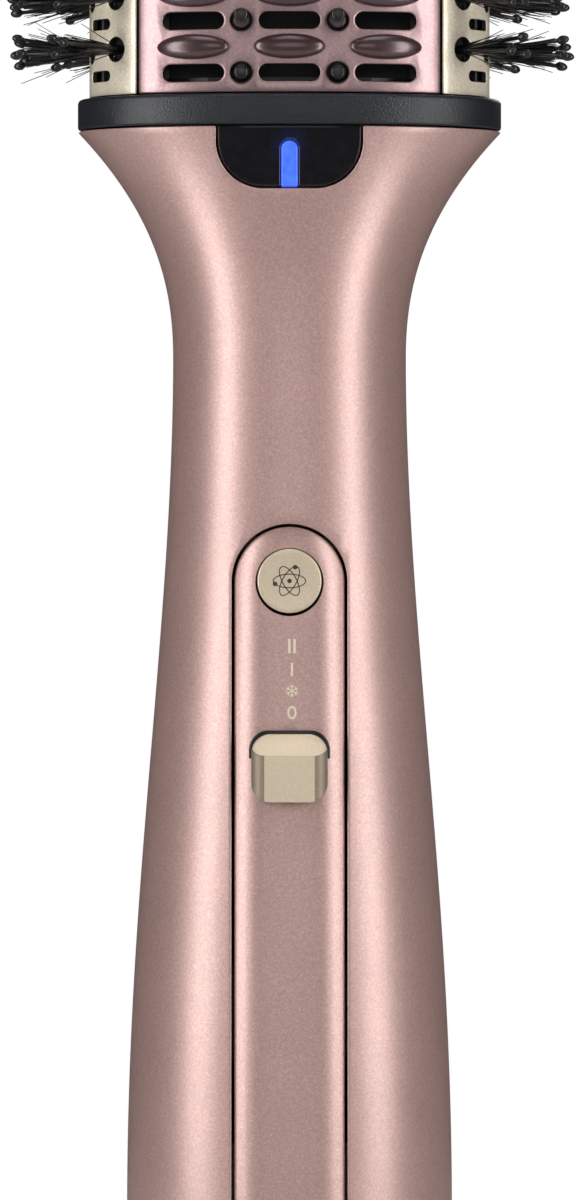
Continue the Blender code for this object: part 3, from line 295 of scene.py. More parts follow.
# %% Finishes of the inner parts
STEEL = grained_finish("steel", (0.55, 0.55, 0.56), 0.34, 0.25 * MM, 0.004, 1.0, 0.10)
NICHROME = grained_finish("nichrome", (0.30, 0.27, 0.25), 0.45, 0.8 * MM, 0.01, 1.0, 0.35)
MICA = grained_finish("mica_sheet", (0.60, 0.52, 0.38), 0.5, 2.5 * MM, 0.03, 0.1, 0.25)


def board_finish():
    material, tree, shader = new_finish("green_board", 0.35)
    cells = pattern(tree, "ShaderNodeTexBrick", 260)
    cells.inputs["Color1"].default_value = (0.016, 0.10, 0.045, 1)
    cells.inputs["Color2"].default_value = (0.020, 0.12, 0.055, 1)
    cells.inputs["Mortar"].default_value = (0.05, 0.24, 0.10, 1)
    tree.links.new(cells.outputs["Color"], shader.inputs["Base Color"])
    bump(tree, shader, cells.outputs["Fac"], 0.02 * MM)
    return material


BOARD = board_finish()
print("finishes so far:", len(bpy.data.materials))

# %% [markdown]
# ## The handle's form
# Every cross-section of the handle is an oval that is a little squarer than an ellipse. Its width and depth
# change along the height: from the grip they ease into the waist, and from there they flare to the collar.
# One function gives both sizes, and every piece on the handle's skin uses it.

# %% Sizes of the handle at any height
shell_low, shell_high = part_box("handle_front_shell")
collar_low, collar_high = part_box("collar_ring")
HANDLE_BOTTOM = shell_low.z
HANDLE_TOP = shell_high.z
WAIST_Z = 165 * MM
GRIP_Z = 25 * MM
WAIST = (38.4 * MM, 36.6 * MM)
GRIP = (53.6 * MM, 46.4 * MM)
FLARE = (70.4 * MM, 45.2 * MM)
OVAL = 2.12


def handle_size(z, lift=0.0):
    """Half width and half depth at height z, grown by lift."""
    down = min(max((WAIST_Z - z) / (WAIST_Z - GRIP_Z), 0), 1)
    ease = (1 - cos(pi * down ** 0.92)) / 2
    up = max((z - WAIST_Z) / (collar_low.z - WAIST_Z), 0) ** 2.3
    sizes = [w + (g - w) * ease + (f - w) * up for w, g, f in zip(WAIST, GRIP, FLARE)]
    return sizes[0] / 2 + lift, sizes[1] / 2 + lift


def oval_y(x, half_width, half_depth, power):
    """How far an oval reaches forward at x."""
    return half_depth * max(1 - abs(x / half_width) ** power, 0) ** (1 / power)


print("waist half sizes", [round(s / MM, 2) for s in handle_size(WAIST_Z)], "mm")

# %% [markdown]
# ## Cut it flat, then wrap it
# Holes, slots and soft rims are easy to make in a flat plate and hard on a curved one. So most pieces are
# laid out flat, facing the front: x and z are already right, and y says how deep a point lies. When the
# plate is cut, rimmed and sliced, one move bends it onto the handle or the head. The plate's middle keeps
# its x, and the part past it is stretched round the side up to the parting line. A cutter starts a little in
# front of the plate and goes right through it.

# %% Where a flat point goes on the handle
FLAT_HALF = 12.5 * MM
PLATE_HALF = 30 * MM
PARTING = radians(0.35)
CUTTER_Y = -1 * MM
CUTTER_DEPTH = 5 * MM


def on_handle(x, y, z):
    half_width, half_depth = handle_size(z, -y)
    if abs(x) <= FLAT_HALF:
        return x, -oval_y(x, half_width, half_depth, OVAL), z
    start = asin((FLAT_HALF / half_width) ** (OVAL / 2))
    share = (abs(x) - FLAT_HALF) / (PLATE_HALF - FLAT_HALF)
    turn = start + (pi / 2 - PARTING - start) * share
    side = half_width * sin(turn) ** (2 / OVAL)
    return (side if x > 0 else -side), -half_depth * cos(turn) ** (2 / OVAL), z


def turned_round(place):
    """The same form on the far side: half a turn about the upright axis."""
    def far_side(x, y, z):
        near = place(x, y, z)
        return -near[0], -near[1], near[2]
    return far_side


# %% [markdown]
# ## Tools of the bench
# These helpers do what a hand does in the window: select one object, pick faces or edges by their place,
# apply a modifier, cut one solid with another, slice a plate so that it can bend.

# %% Selecting
NEAR = 1e-6


def only(obj):
    if bpy.context.mode != "OBJECT":
        bpy.ops.object.mode_set(mode="OBJECT")
    bpy.ops.object.select_all(action="DESELECT")
    obj.select_set(True)
    bpy.context.view_layer.objects.active = obj
    return obj


def pick(obj, kind, test):
    """Enters edit mode with only those vertices, edges or faces selected whose middle passes the test."""
    only(obj)
    bpy.ops.object.mode_set(mode="EDIT")
    bpy.ops.mesh.select_mode(type=kind)
    bpy.ops.mesh.select_all(action="DESELECT")
    bpy.ops.object.mode_set(mode="OBJECT")
    mesh = obj.data
    points = mesh.vertices
    if kind == "VERT":
        for vertex in points:
            vertex.select = test(vertex.co)
    elif kind == "EDGE":
        for edge in mesh.edges:
            edge.select = test(points[edge.vertices[0]].co, points[edge.vertices[1]].co)
    else:
        for face in mesh.polygons:
            face.select = test(face.center, face.normal)
    bpy.ops.object.mode_set(mode="EDIT")


def pick_rims(obj, y):
    """Enters edit mode with the sharp edges at depth y selected."""
    only(obj)
    bpy.ops.object.mode_set(mode="EDIT")
    bpy.ops.mesh.select_mode(type="EDGE")
    bpy.ops.mesh.select_all(action="DESELECT")
    bpy.ops.mesh.edges_select_sharp(sharpness=radians(50))
    bpy.ops.object.mode_set(mode="OBJECT")
    points = obj.data.vertices
    for edge in obj.data.edges:
        a, b = (points[i].co for i in edge.vertices)
        edge.select = edge.select and abs(a.y - y) < NEAR and abs(b.y - y) < NEAR
    bpy.ops.object.mode_set(mode="EDIT")


# %% Finishing touches in edit mode
def soften(width, segments=3):
    """Bevels the picked edges and leaves edit mode."""
    bpy.ops.mesh.bevel(offset=width, segments=segments, affect="EDGES")
    bpy.ops.object.mode_set(mode="OBJECT")


def face_out():
    """Turns all faces of the mesh outwards and leaves edit mode."""
    bpy.ops.mesh.select_all(action="SELECT")
    bpy.ops.mesh.normals_make_consistent(inside=False)
    bpy.ops.object.mode_set(mode="OBJECT")


# %% Modifiers, cuts and joins
def apply(obj, kind, **settings):
    only(obj)
    bpy.ops.object.modifier_add(type=kind)
    modifier = obj.modifiers[-1]
    for key, value in settings.items():
        setattr(modifier, key, value)
    bpy.ops.object.modifier_apply(modifier=modifier.name)


def cut(obj, cutter, operation="DIFFERENCE"):
    apply(obj, "BOOLEAN", operation=operation, solver="EXACT", object=cutter)
    bpy.data.objects.remove(cutter)


def twin(obj, matrix):
    """A copy with its own mesh, moved by the matrix."""
    made = obj.copy()
    made.data = obj.data.copy()
    made.data.transform(matrix)
    bpy.context.scene.collection.objects.link(made)
    return made


def joined(objects, name):
    only(objects[0])
    for obj in objects:
        obj.select_set(True)
    bpy.ops.object.join()
    bpy.context.object.name = name
    bpy.context.object.data.name = name
    return bpy.context.object


# %% Plates
def plate(name, x, z, y=0.0, radius=0.0, corners="all", segments=8):
    """A flat plate that faces the front. Its corners can be rounded: all, top or bottom."""
    middle = ((x[0] + x[1]) / 2, y, (z[0] + z[1]) / 2)
    bpy.ops.object.select_all(action="DESELECT")
    bpy.ops.mesh.primitive_plane_add(size=1, location=middle, rotation=(pi / 2, 0, 0))
    obj = bpy.context.object
    obj.name = name
    obj.scale = (x[1] - x[0], z[1] - z[0], 1)
    bpy.ops.object.transform_apply(location=True, rotation=True, scale=True)
    if radius:
        pick(obj, "VERT", lambda p: corners == "all" or (p.z > middle[2]) == (corners == "top"))
        bpy.ops.mesh.bevel(offset=radius, segments=segments, affect="VERTICES")
        bpy.ops.mesh.select_all(action="SELECT")
        bpy.ops.mesh.remove_doubles(threshold=NEAR)
        bpy.ops.object.mode_set(mode="OBJECT")
    return obj


def thicken(obj, depth):
    apply(obj, "SOLIDIFY", thickness=depth, offset=-1)
    return obj


def disc(name, x, z, y, radius, depth, vertices=32):
    """A round solid along Y from y to y + depth."""
    bpy.ops.object.select_all(action="DESELECT")
    place = (x, y + depth / 2, z)
    bpy.ops.mesh.primitive_cylinder_add(
        vertices=vertices, radius=radius, depth=depth, location=place, rotation=(pi / 2, 0, 0)
    )
    obj = bpy.context.object
    obj.name = name
    bpy.ops.object.transform_apply(location=True, rotation=True, scale=True)
    return obj


def roll_rim(obj, width, drop, steps=8):
    """Rolls the rim of a plate's one face: rings step inwards and up along half of a parabola."""
    pick(obj, "FACE", lambda centre, normal: True)
    for i in range(steps):
        here, there = (drop * (1 - step / steps) ** 2 for step in (i, i + 1))
        bpy.ops.mesh.inset(thickness=width / steps, depth=here - there, use_even_offset=True)
    bpy.ops.object.mode_set(mode="OBJECT")


def round_rims(obj, y, width, segments=3):
    pick_rims(obj, y)
    soften(width, segments)


def steps_between(low, high, step):
    count = max(round((high - low) / step), 1)
    return [low + (high - low) * i / count for i in range(1, count)]


def slice_up(obj, xs=(), zs=()):
    """Cuts all of a plate's faces at these places, so that it can follow a curve."""
    only(obj)
    bpy.ops.object.mode_set(mode="EDIT")
    for place, across in [((x, 0, 0), (1, 0, 0)) for x in xs] + [((0, 0, z), (0, 0, 1)) for z in zs]:
        bpy.ops.mesh.select_all(action="SELECT")
        bpy.ops.mesh.bisect(plane_co=place, plane_no=across, threshold=1e-7)
    bpy.ops.object.mode_set(mode="OBJECT")


def wrap(obj, place):
    for vertex in obj.data.vertices:
        vertex.co = place(*vertex.co)
    obj.data.update()
    return obj


# %% Handing a piece over
def hand_over(obj, name, body, material, nodes=(), smooth=35, inside=None):
    """Smooth shading up to an angle, the finish and a second one that paints shade, and what the frame has to
    know.
    """
    only(obj)
    obj.name = name
    bpy.ops.object.shade_smooth_by_angle(angle=radians(smooth))
    for finish in filter(None, (material, inside)):
        obj.data.materials.append(finish)
    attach(obj, body)
    if nodes:
        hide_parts(*nodes)
    heights = [vertex.co.z / MM for vertex in obj.data.vertices]
    print(f"{name}: {len(obj.data.polygons)} faces, z {min(heights):.1f} to {max(heights):.1f} mm")


# %% [markdown]
# ## Front shell
# The front half of the handle is one moulding with a long opening for the control strip and a pocket for the
# indicator. A loft with the holes cut through its curved wall would also give it, but the rims would then be
# hard to round evenly. So it is cut from a flat plate, its rims get a small round, and it is wrapped onto the
# handle.

# %% Front shell
SHELL_WALL = 2.2 * MM
GROOVE = 0.5 * MM
strip_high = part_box("control_strip")[1]
STRIP_HALF = strip_high.x
window_low, window_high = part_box("indicator_window")
WINDOW_HALF = window_high.x
WINDOW_CORNER = 7.5 * MM
GAP = 0.3 * MM

HANDLE_XS = steps_between(-PLATE_HALF, PLATE_HALF, 1.25 * MM)
HANDLE_ZS = steps_between(HANDLE_BOTTOM, WAIST_Z, 3.1 * MM) + steps_between(WAIST_Z, HANDLE_TOP, 1.26 * MM)

front_shell = plate("front_shell", (-PLATE_HALF, PLATE_HALF), (HANDLE_BOTTOM, HANDLE_TOP))
thicken(front_shell, SHELL_WALL)
opening_half = STRIP_HALF + GROOVE
opening_zs = (-1 * MM, strip_high.z + GROOVE)
opening = plate("opening", (-opening_half, opening_half), opening_zs, CUTTER_Y, opening_half, "top", 24)
cut(front_shell, thicken(opening, CUTTER_DEPTH))
pocket_half = WINDOW_HALF + GAP
pocket = plate(
    "pocket", (-pocket_half, pocket_half), (window_low.z - GAP, HANDLE_TOP + 3 * MM), CUTTER_Y,
    WINDOW_CORNER + GAP, "bottom", 20
)
cut(front_shell, thicken(pocket, CUTTER_DEPTH))
round_rims(front_shell, 0, 0.25 * MM)
slice_up(front_shell, HANDLE_XS, HANDLE_ZS + [WAIST_Z])
wrap(front_shell, on_handle)
hand_over(front_shell, "handle_front", "brush", ROSE_PAINT, ["handle_front_shell"])

# %% [markdown]
# ## Rear shell and screws
# The rear half has no controls, only three sunk screws that draw the two halves together. It is made as the
# front half is, with the plate wrapped onto the far side. A screw is a cylinder with a softened head and two
# crossed slots for the driver, and its shank is joined on by a union, so that it stays one solid.

# %% Rear shell
SCREWS = ("handle_screw_lower", "handle_screw_middle", "handle_screw_upper")
SCREW_HEAD = 2.4 * MM
SCREW_SINK = 1.5 * MM
SCREW_HOLE = 1.55 * MM
SHANK = 1.25 * MM
CROSS = (2.9 * MM, 0.55 * MM)

rear_shell = plate("rear_shell", (-PLATE_HALF, PLATE_HALF), (HANDLE_BOTTOM, HANDLE_TOP))
thicken(rear_shell, SHELL_WALL)
for node in SCREWS:
    low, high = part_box(node)
    height = (low.z + high.z) / 2
    cut(rear_shell, disc("recess", 0, height, CUTTER_Y, SCREW_HEAD + GAP, MM + SCREW_SINK, 48))
    cut(rear_shell, disc("hole", 0, height, CUTTER_Y, SCREW_HOLE, CUTTER_DEPTH, 32))
round_rims(rear_shell, 0, 0.3 * MM)
slice_up(rear_shell, HANDLE_XS, HANDLE_ZS + [WAIST_Z])
wrap(rear_shell, turned_round(on_handle))
hand_over(rear_shell, "handle_rear", "brush", ROSE_PAINT, ["handle_rear_shell"])

# %% Screws
for node in SCREWS:
    low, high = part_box(node)
    height = (low.z + high.z) / 2
    screw = disc("screw", 0, height, high.y - MM, SCREW_HEAD, MM, 40)
    round_rims(screw, high.y, 0.3 * MM)
    for wide, tall in (CROSS, CROSS[::-1]):
        sides = (-wide / 2, wide / 2)
        ends = (height - tall / 2, height + tall / 2)
        cut(screw, thicken(plate("cross", sides, ends, high.y - 0.6 * MM), 3 * MM))
    shank = disc("shank", 0, height, low.y, SHANK, high.y - 1.2 * MM - low.y, 24)
    cut(screw, shank, "UNION")
    hand_over(screw, "steel_" + node, "brush", STEEL, [node])

# %% [markdown]
# ## Control strip
# A strip of the same rose plastic is let into the shell with a thin groove all round. Its edge is rolled over
# softly, which gives the bright line beside the groove. It is one face that steps inwards ring by ring.

# %% Control strip
button_low, button_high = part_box("ion_button")
knob_low, knob_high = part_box("slide_knob")
BUTTON_RADIUS = (button_high.x - button_low.x) / 2 - MM
BUTTON_Z = (button_low.z + button_high.z) / 2
STRIP_WALL = 2.0 * MM
ROLL_WIDTH = 4.6 * MM
ROLL_DROP = 0.9 * MM
HOLE_SHIFT = 0.17 * MM
SLOT_HALF = 1.5 * MM
SLOT_LENGTH = 10.3 * MM

strip_zs = (HANDLE_BOTTOM, strip_high.z)
strip = plate("strip", (-STRIP_HALF, STRIP_HALF), strip_zs, ROLL_DROP, STRIP_HALF, "top", 24)
roll_rim(strip, ROLL_WIDTH, ROLL_DROP, 10)
thicken(strip, STRIP_WALL)
hole_z = BUTTON_Z - HOLE_SHIFT
cut(strip, disc("button_hole", 0, hole_z, CUTTER_Y, BUTTON_RADIUS + GAP, CUTTER_DEPTH, 80))
slot_low = knob_low.z + 0.8 * MM
slot = plate("slot", (-SLOT_HALF, SLOT_HALF), (slot_low, slot_low + SLOT_LENGTH), CUTTER_Y, MM)
cut(strip, thicken(slot, CUTTER_DEPTH))
round_rims(strip, 0, 0.18 * MM)
slice_up(strip, steps_between(-STRIP_HALF, STRIP_HALF, MM), steps_between(*strip_zs, 3.1 * MM))
wrap(strip, on_handle)
hand_over(strip, "control_strip_rose", "brush", ROSE_PAINT, ["control_strip"])

# %% [markdown]
# ## Ion button
# The button is a champagne disc with a soft edge and a shallow dish for the thumb. A wider flange behind the
# strip keeps it in. Its mark, a generic atom, is printed on the dish in dark ink.

# %% Ion button
DISH = 0.16 * MM
FACE_Y = button_low.y


def dish_y(x, z):
    """Depth of the dished face."""
    away = min(((x ** 2 + (z - BUTTON_Z) ** 2) ** 0.5) / (BUTTON_RADIUS * 0.94), 1)
    return FACE_Y + DISH * (1 - away ** 2)


flange_y = button_high.y - MM
button = disc("button", 0, BUTTON_Z, FACE_Y, BUTTON_RADIUS, flange_y - FACE_Y, 80)
pick(button, "FACE", lambda centre, normal: normal.y > 0.9)
bpy.ops.mesh.extrude_region_move(TRANSFORM_OT_translate={"value": (0, 0, 0)})
flange_share = 1 + MM / BUTTON_RADIUS
seat = (0, flange_y, BUTTON_Z)
bpy.ops.transform.resize(value=(flange_share, 1, flange_share), center_override=seat)
bpy.ops.mesh.extrude_region_move(TRANSFORM_OT_translate={"value": (0, MM, 0)})
bpy.ops.object.mode_set(mode="OBJECT")
round_rims(button, FACE_Y, 0.3 * MM, 4)
pick(button, "FACE", lambda centre, normal: normal.y < -0.9999)
for _ in range(8):
    bpy.ops.mesh.inset(thickness=BUTTON_RADIUS / 10)
bpy.ops.object.mode_set(mode="OBJECT")
for vertex in button.data.vertices:
    if abs(vertex.co.y - FACE_Y) < NEAR:
        vertex.co.y = dish_y(vertex.co.x, vertex.co.z)
hand_over(button, "ion_button_champagne", "ion_button", CHAMPAGNE, ["ion_button"])

# %% Its mark
def orbit(turn, half_length=2.72 * MM, half_width=1.2 * MM, line=0.17 * MM):
    """A thin flat ellipse, turned in the plane of the face."""
    bpy.ops.object.select_all(action="DESELECT")
    bpy.ops.mesh.primitive_circle_add(vertices=72, radius=1, rotation=(pi / 2, 0, 0))
    ring = bpy.context.object
    bpy.ops.object.transform_apply(rotation=True)
    bpy.ops.object.mode_set(mode="EDIT")
    bpy.ops.mesh.select_mode(type="EDGE")
    bpy.ops.mesh.select_all(action="SELECT")
    bpy.ops.transform.resize(value=(half_length, 1, half_width), center_override=CENTRE)
    bpy.ops.mesh.extrude_region_move()
    smaller = ((half_length - line) / half_length, 1, (half_width - line) / half_width)
    bpy.ops.transform.resize(value=smaller, center_override=CENTRE)
    bpy.ops.object.mode_set(mode="OBJECT")
    ring.data.transform(Matrix.Rotation(turn, 4, "Y"))
    return ring


def print_on(obj, place, height=0.03 * MM):
    """Gives a flat mark a hair's thickness and lays it on the surface that place describes."""
    for face in obj.data.polygons:
        if face.normal.y > 0:
            face.flip()
    obj.data.update()
    obj.data.transform(Matrix.Translation((0, -height, 0)))
    thicken(obj, height * 0.9)
    return wrap(obj, place)


DOT_RADIUS = 0.37 * MM
DOT_PLACES = ((0, 0), (-2.35 * MM, -0.48 * MM), (0.92 * MM, 2.24 * MM))

rings = [orbit(turn) for turn in (0, radians(60), radians(-60))]
dots = []
for x, z in DOT_PLACES:
    bpy.ops.object.select_all(action="DESELECT")
    bpy.ops.mesh.primitive_circle_add(
        vertices=20, radius=DOT_RADIUS, fill_type="NGON", location=(x, 0, z), rotation=(pi / 2, 0, 0)
    )
    bpy.ops.object.transform_apply(location=True, rotation=True)
    dots.append(bpy.context.object)
mark = joined(rings + dots, "ion_mark")
print_on(mark, lambda x, y, z: (x, dish_y(x, z + BUTTON_Z) + y, z + BUTTON_Z))
hand_over(mark, "ion_mark", "ion_button", PRINT_DARK)

# %% [markdown]
# ## Setting marks
# Four cream prints above the knob name its positions: two bars, one bar, a snowflake for cool air and a
# nought for off. They are drawn flat from thin bars and rings and wrapped onto the strip.

# %% Setting marks
LINE = 0.36 * MM


def bar(x, z, length, width=LINE, turn=0.0):
    made = plate("bar", (-width / 2, width / 2), (-length / 2, length / 2))
    made.data.transform(Matrix.Translation((x, 0, z)) @ Matrix.Rotation(turn, 4, "Y"))
    return made


def snowflake(x, z, radius):
    """Three crossed bars with a pair of short side arms near each end."""
    made = []
    for i in range(6):
        turn = radians(60 * i)
        out = Vector((sin(turn), 0, cos(turn)))
        if i < 3:
            made.append(bar(x, z, 2 * radius, 0.17 * MM, turn))
        for lean in (-50, 50):
            along = turn + radians(lean)
            foot = out * radius * 0.55
            middle = foot + Vector((sin(along), 0, cos(along))) * radius * 0.2
            made.append(bar(x + middle.x, z + middle.z, radius * 0.45, 0.15 * MM, along))
    return made


# %% The four marks, from the top down
MARK_X = 0.4 * MM
HIGH_Z, LOW_Z, COOL_Z, OFF_Z = 118.1 * MM, 114.3 * MM, 110.8 * MM, 107.3 * MM
BAR_APART = 0.42 * MM

marks = [bar(MARK_X - BAR_APART, HIGH_Z, 2.3 * MM), bar(MARK_X + BAR_APART, HIGH_Z, 2.3 * MM)]
marks += [bar(MARK_X, LOW_Z, 2.2 * MM)]
marks += snowflake(MARK_X, COOL_Z, 1.05 * MM)
nought = orbit(0, 0.76 * MM, 1.08 * MM, 0.33 * MM)
nought.data.transform(Matrix.Translation((MARK_X, 0, OFF_Z)))
for made in marks:
    slice_up(made, zs=[made.data.vertices[0].co.z * 0.5 + made.data.vertices[3].co.z * 0.5])
marks = joined(marks + [nought], "setting_marks")
print_on(marks, on_handle)
hand_over(marks, "setting_marks", "brush", PRINT_CREAM)

# %% [markdown]
# ## Slide knob
# The knob is a champagne block with rounded corners. Its flanks slope, its middle is flat, and its upper end
# is cut off at a slant for the thumb, which leaves a lens-shaped facet. The block is a rounded bar that a
# rounded outline trims. One slanted bisect makes the facet. The flanks take a darker finish than the front,
# which paints the shade on their slopes.

# %% Slide knob
KNOB_UNDER = -1.2 * MM
KNOB_TOP = -4.5 * MM
KNOB_CORNER = 3.1 * MM
KNOB_FLANK = 2.1 * MM
FLANK_STRETCH = 0.66
FACET = 3.5 * MM
half = knob_high.x
low_z, high_z = knob_low.z, knob_high.z

depth = (KNOB_UNDER - KNOB_TOP) / FLANK_STRETCH
knob = plate("knob", (-half, half), (low_z - 3 * MM, high_z + 3 * MM), KNOB_UNDER - depth)
thicken(knob, depth)
front = KNOB_UNDER - depth
pick(knob, "EDGE", lambda a, b: abs(a.y - front) < NEAR and abs(b.y - front) < NEAR and a.x * b.x > 0)
bpy.ops.mesh.bevel(offset=KNOB_FLANK, segments=8, affect="EDGES")
bpy.ops.mesh.select_all(action="SELECT")
bpy.ops.transform.resize(value=(1, FLANK_STRETCH, 1), center_override=(0, KNOB_UNDER, 0))
bpy.ops.object.mode_set(mode="OBJECT")
outline = plate("outline", (-half, half), (low_z, high_z), KNOB_TOP - MM, KNOB_CORNER, "all", 10)
cut(knob, thicken(outline, 6 * MM), "INTERSECT")
only(knob)
bpy.ops.object.mode_set(mode="EDIT")
bpy.ops.mesh.select_all(action="SELECT")
slant = Vector((0, -FACET, KNOB_UNDER - KNOB_TOP - 0.4 * MM)).normalized()
ledge = (0, KNOB_TOP, high_z - FACET)
bpy.ops.mesh.bisect(plane_co=ledge, plane_no=slant, use_fill=True, clear_outer=True, threshold=1e-7)
bpy.ops.object.mode_set(mode="OBJECT")
pick(knob, "EDGE", lambda a, b: all(abs((p - Vector(ledge)).dot(slant)) < NEAR for p in (a, b)))
soften(0.14 * MM)
# Painted shade: faces on the sloping flanks take the darker champagne.
for face in knob.data.polygons:
    painted_shade_flank = abs(face.center.x) > half - KNOB_FLANK + 0.1 * MM and face.normal.z < 0.4
    face.material_index = int(painted_shade_flank and face.normal.z > -0.9)
slice_up(knob, steps_between(-half, half, 0.9 * MM), steps_between(low_z, high_z, 1.6 * MM))
wrap(knob, on_handle)
hand_over(knob, "slide_knob_champagne", "slide_knob", CHAMPAGNE, ["slide_knob"],
          inside=CHAMPAGNE_PAINTED_SHADE)

# %% [markdown]
# The knob is clipped to a black carriage. A thin flange of it shows as a dark band round the knob's upper
# end, and this black band also stands in for the shade in the gap there. A stem goes down through the slot,
# and a shutter behind the strip hides the slot's open end.

# %% Carriage
KNOB_TRAVEL = 8.1 * MM
BAND_Y = -0.9 * MM
BAND_TALL = 4.6 * MM
STEM_HALF = 1.2 * MM
STEM_TALL = 1.6 * MM
SHUTTER_HALF = 3 * MM

flange_half = half + 0.4 * MM
pad_half = half - 0.4 * MM
band_top = high_z + 0.6 * MM
travel_low = low_z - KNOB_TRAVEL
stem_low = slot_low + GAP
band_zs = (band_top - BAND_TALL, band_top)
# Painted shade: the black flange also stands in for the shaded gap round the knob's upper end.
flange_and_shade_band = plate("flange_and_shade_band", (-flange_half, flange_half), band_zs, BAND_Y, 3.2 * MM, "top", 12)
thicken(flange_and_shade_band, 0.5 * MM)
round_rims(flange_and_shade_band, BAND_Y, 0.15 * MM)
pad_zs = (low_z + 0.4 * MM, band_top - 4.0 * MM)
pad = plate("pad", (-pad_half, pad_half), pad_zs, -0.8 * MM, 2 * MM, "bottom")
thicken(pad, 0.3 * MM)
stem = thicken(plate("stem", (-STEM_HALF, STEM_HALF), (stem_low, stem_low + STEM_TALL), -0.7 * MM), 3.6 * MM)
shutter_zs = (travel_low, high_z + 1.5 * MM)
shutter = plate("shutter", (-SHUTTER_HALF, SHUTTER_HALF), shutter_zs, 2.7 * MM, MM, "all", 4)
thicken(shutter, 0.8 * MM)
carriage = joined([flange_and_shade_band, pad, stem, shutter], "carriage")
slice_up(carriage, steps_between(-flange_half, flange_half, MM), steps_between(travel_low, band_top, 3 * MM))
wrap(carriage, on_handle)
hand_over(carriage, "carriage_black", "slide_knob", NYLON, ["slide_carriage"])

# %% [markdown]
# ## Indicator
# A gloss black insert sits a little below the shell's skin and carries a clear bar that glows blue. The glow
# is the bar's own emission. The bar's light on the black plastic round it is painted into that plastic's
# finish as a weak blue glow that fades with the distance from the bar.

# %% Indicator finishes
light_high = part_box("light_pipe")[1]
PAINTED_GLOW_REACH = 4 * MM


def glow_finish():
    material, tree, shader = new_finish("blue_light", 0.3, coat=0.3)
    fine = pattern(tree, "ShaderNodeTexNoise", 900, detail=2)
    colour = ramp(tree, fine.outputs["Fac"], ((0.3, (0.03, 0.085, 0.90)), (0.7, (0.05, 0.13, 0.98))))
    tree.links.new(colour, shader.inputs["Base Color"])
    tree.links.new(colour, shader.inputs["Emission Color"])
    shader.inputs["Emission Strength"].default_value = 0.95
    bump(tree, shader, fine.outputs["Fac"], 0.004 * MM)
    return material


def painted_glow_on_black():
    material = GLOSS_BLACK.copy()
    material.name = "indicator_black"
    tree = material.node_tree
    shader = tree.nodes["Principled BSDF"]
    place = tree.nodes["Texture Coordinate"]
    centre = tree.nodes.new("ShaderNodeMapping")
    centre.inputs["Location"].default_value = (0, 0, -(light_high.z - MM))
    squeeze = tree.nodes.new("ShaderNodeMapping")
    squeeze.inputs["Scale"].default_value = (1 / PAINTED_GLOW_REACH, 0, 1 / PAINTED_GLOW_REACH)
    ball = tree.nodes.new("ShaderNodeTexGradient")
    ball.gradient_type = "QUADRATIC_SPHERE"
    tree.links.new(place.outputs["Object"], centre.inputs["Vector"])
    tree.links.new(centre.outputs["Vector"], squeeze.inputs["Vector"])
    tree.links.new(squeeze.outputs["Vector"], ball.inputs["Vector"])
    # Painted glow: blue emission on the black, strongest at the bar and gone at the reach.
    painted_glow = ramp(tree, ball.outputs["Fac"], ((0, (0, 0, 0)), (1, (0.0, 0.006, 0.09))))
    tree.links.new(painted_glow, shader.inputs["Emission Color"])
    shader.inputs["Emission Strength"].default_value = 1.0
    return material


BLUE_LIGHT = glow_finish()
INDICATOR_BLACK = painted_glow_on_black()

# %% Indicator insert and light bar
LIGHT_HALF = light_high.x
RECESS = 0.7 * MM

LIGHT_Y = 0.47 * MM
LIGHT_GAP = 0.12 * MM

insert_zs = (window_low.z, HANDLE_TOP)
insert = plate("insert", (-WINDOW_HALF, WINDOW_HALF), insert_zs, RECESS, WINDOW_CORNER, "bottom", 20)
thicken(insert, 1.2 * MM)
gap_half = LIGHT_HALF + LIGHT_GAP
gap_zs = (window_low.z - MM, light_high.z + LIGHT_GAP)
gap = plate("gap", (-gap_half, gap_half), gap_zs, 0, gap_half, "top", 10)
cut(insert, thicken(gap, CUTTER_DEPTH))
round_rims(insert, RECESS, 0.25 * MM, 4)
slice_up(insert, steps_between(-WINDOW_HALF, WINDOW_HALF, MM), steps_between(*insert_zs, 0.8 * MM))
wrap(insert, on_handle)
hand_over(insert, "indicator_black", "brush", INDICATOR_BLACK, ["indicator_window"])

light_zs = (window_low.z, light_high.z)
light = plate("light", (-LIGHT_HALF, LIGHT_HALF), light_zs, LIGHT_Y, LIGHT_HALF, "top", 10)
thicken(light, 2.6 * MM)
round_rims(light, LIGHT_Y, 0.3 * MM, 4)
slice_up(light, steps_between(-LIGHT_HALF, LIGHT_HALF, 0.9 * MM), steps_between(*light_zs, MM))
wrap(light, on_handle)
hand_over(light, "light_bar", "brush", BLUE_LIGHT, ["light_pipe"])

# %% [markdown]
# ## Rings that grow upwards
# The collar, the caps and the swivel are closed rings or cups. A circle is squared off to the right oval.
# Then it is extruded level by level, and each new ring is scaled to its size. Where the ring is hollow, the
# last level is bridged to the first.

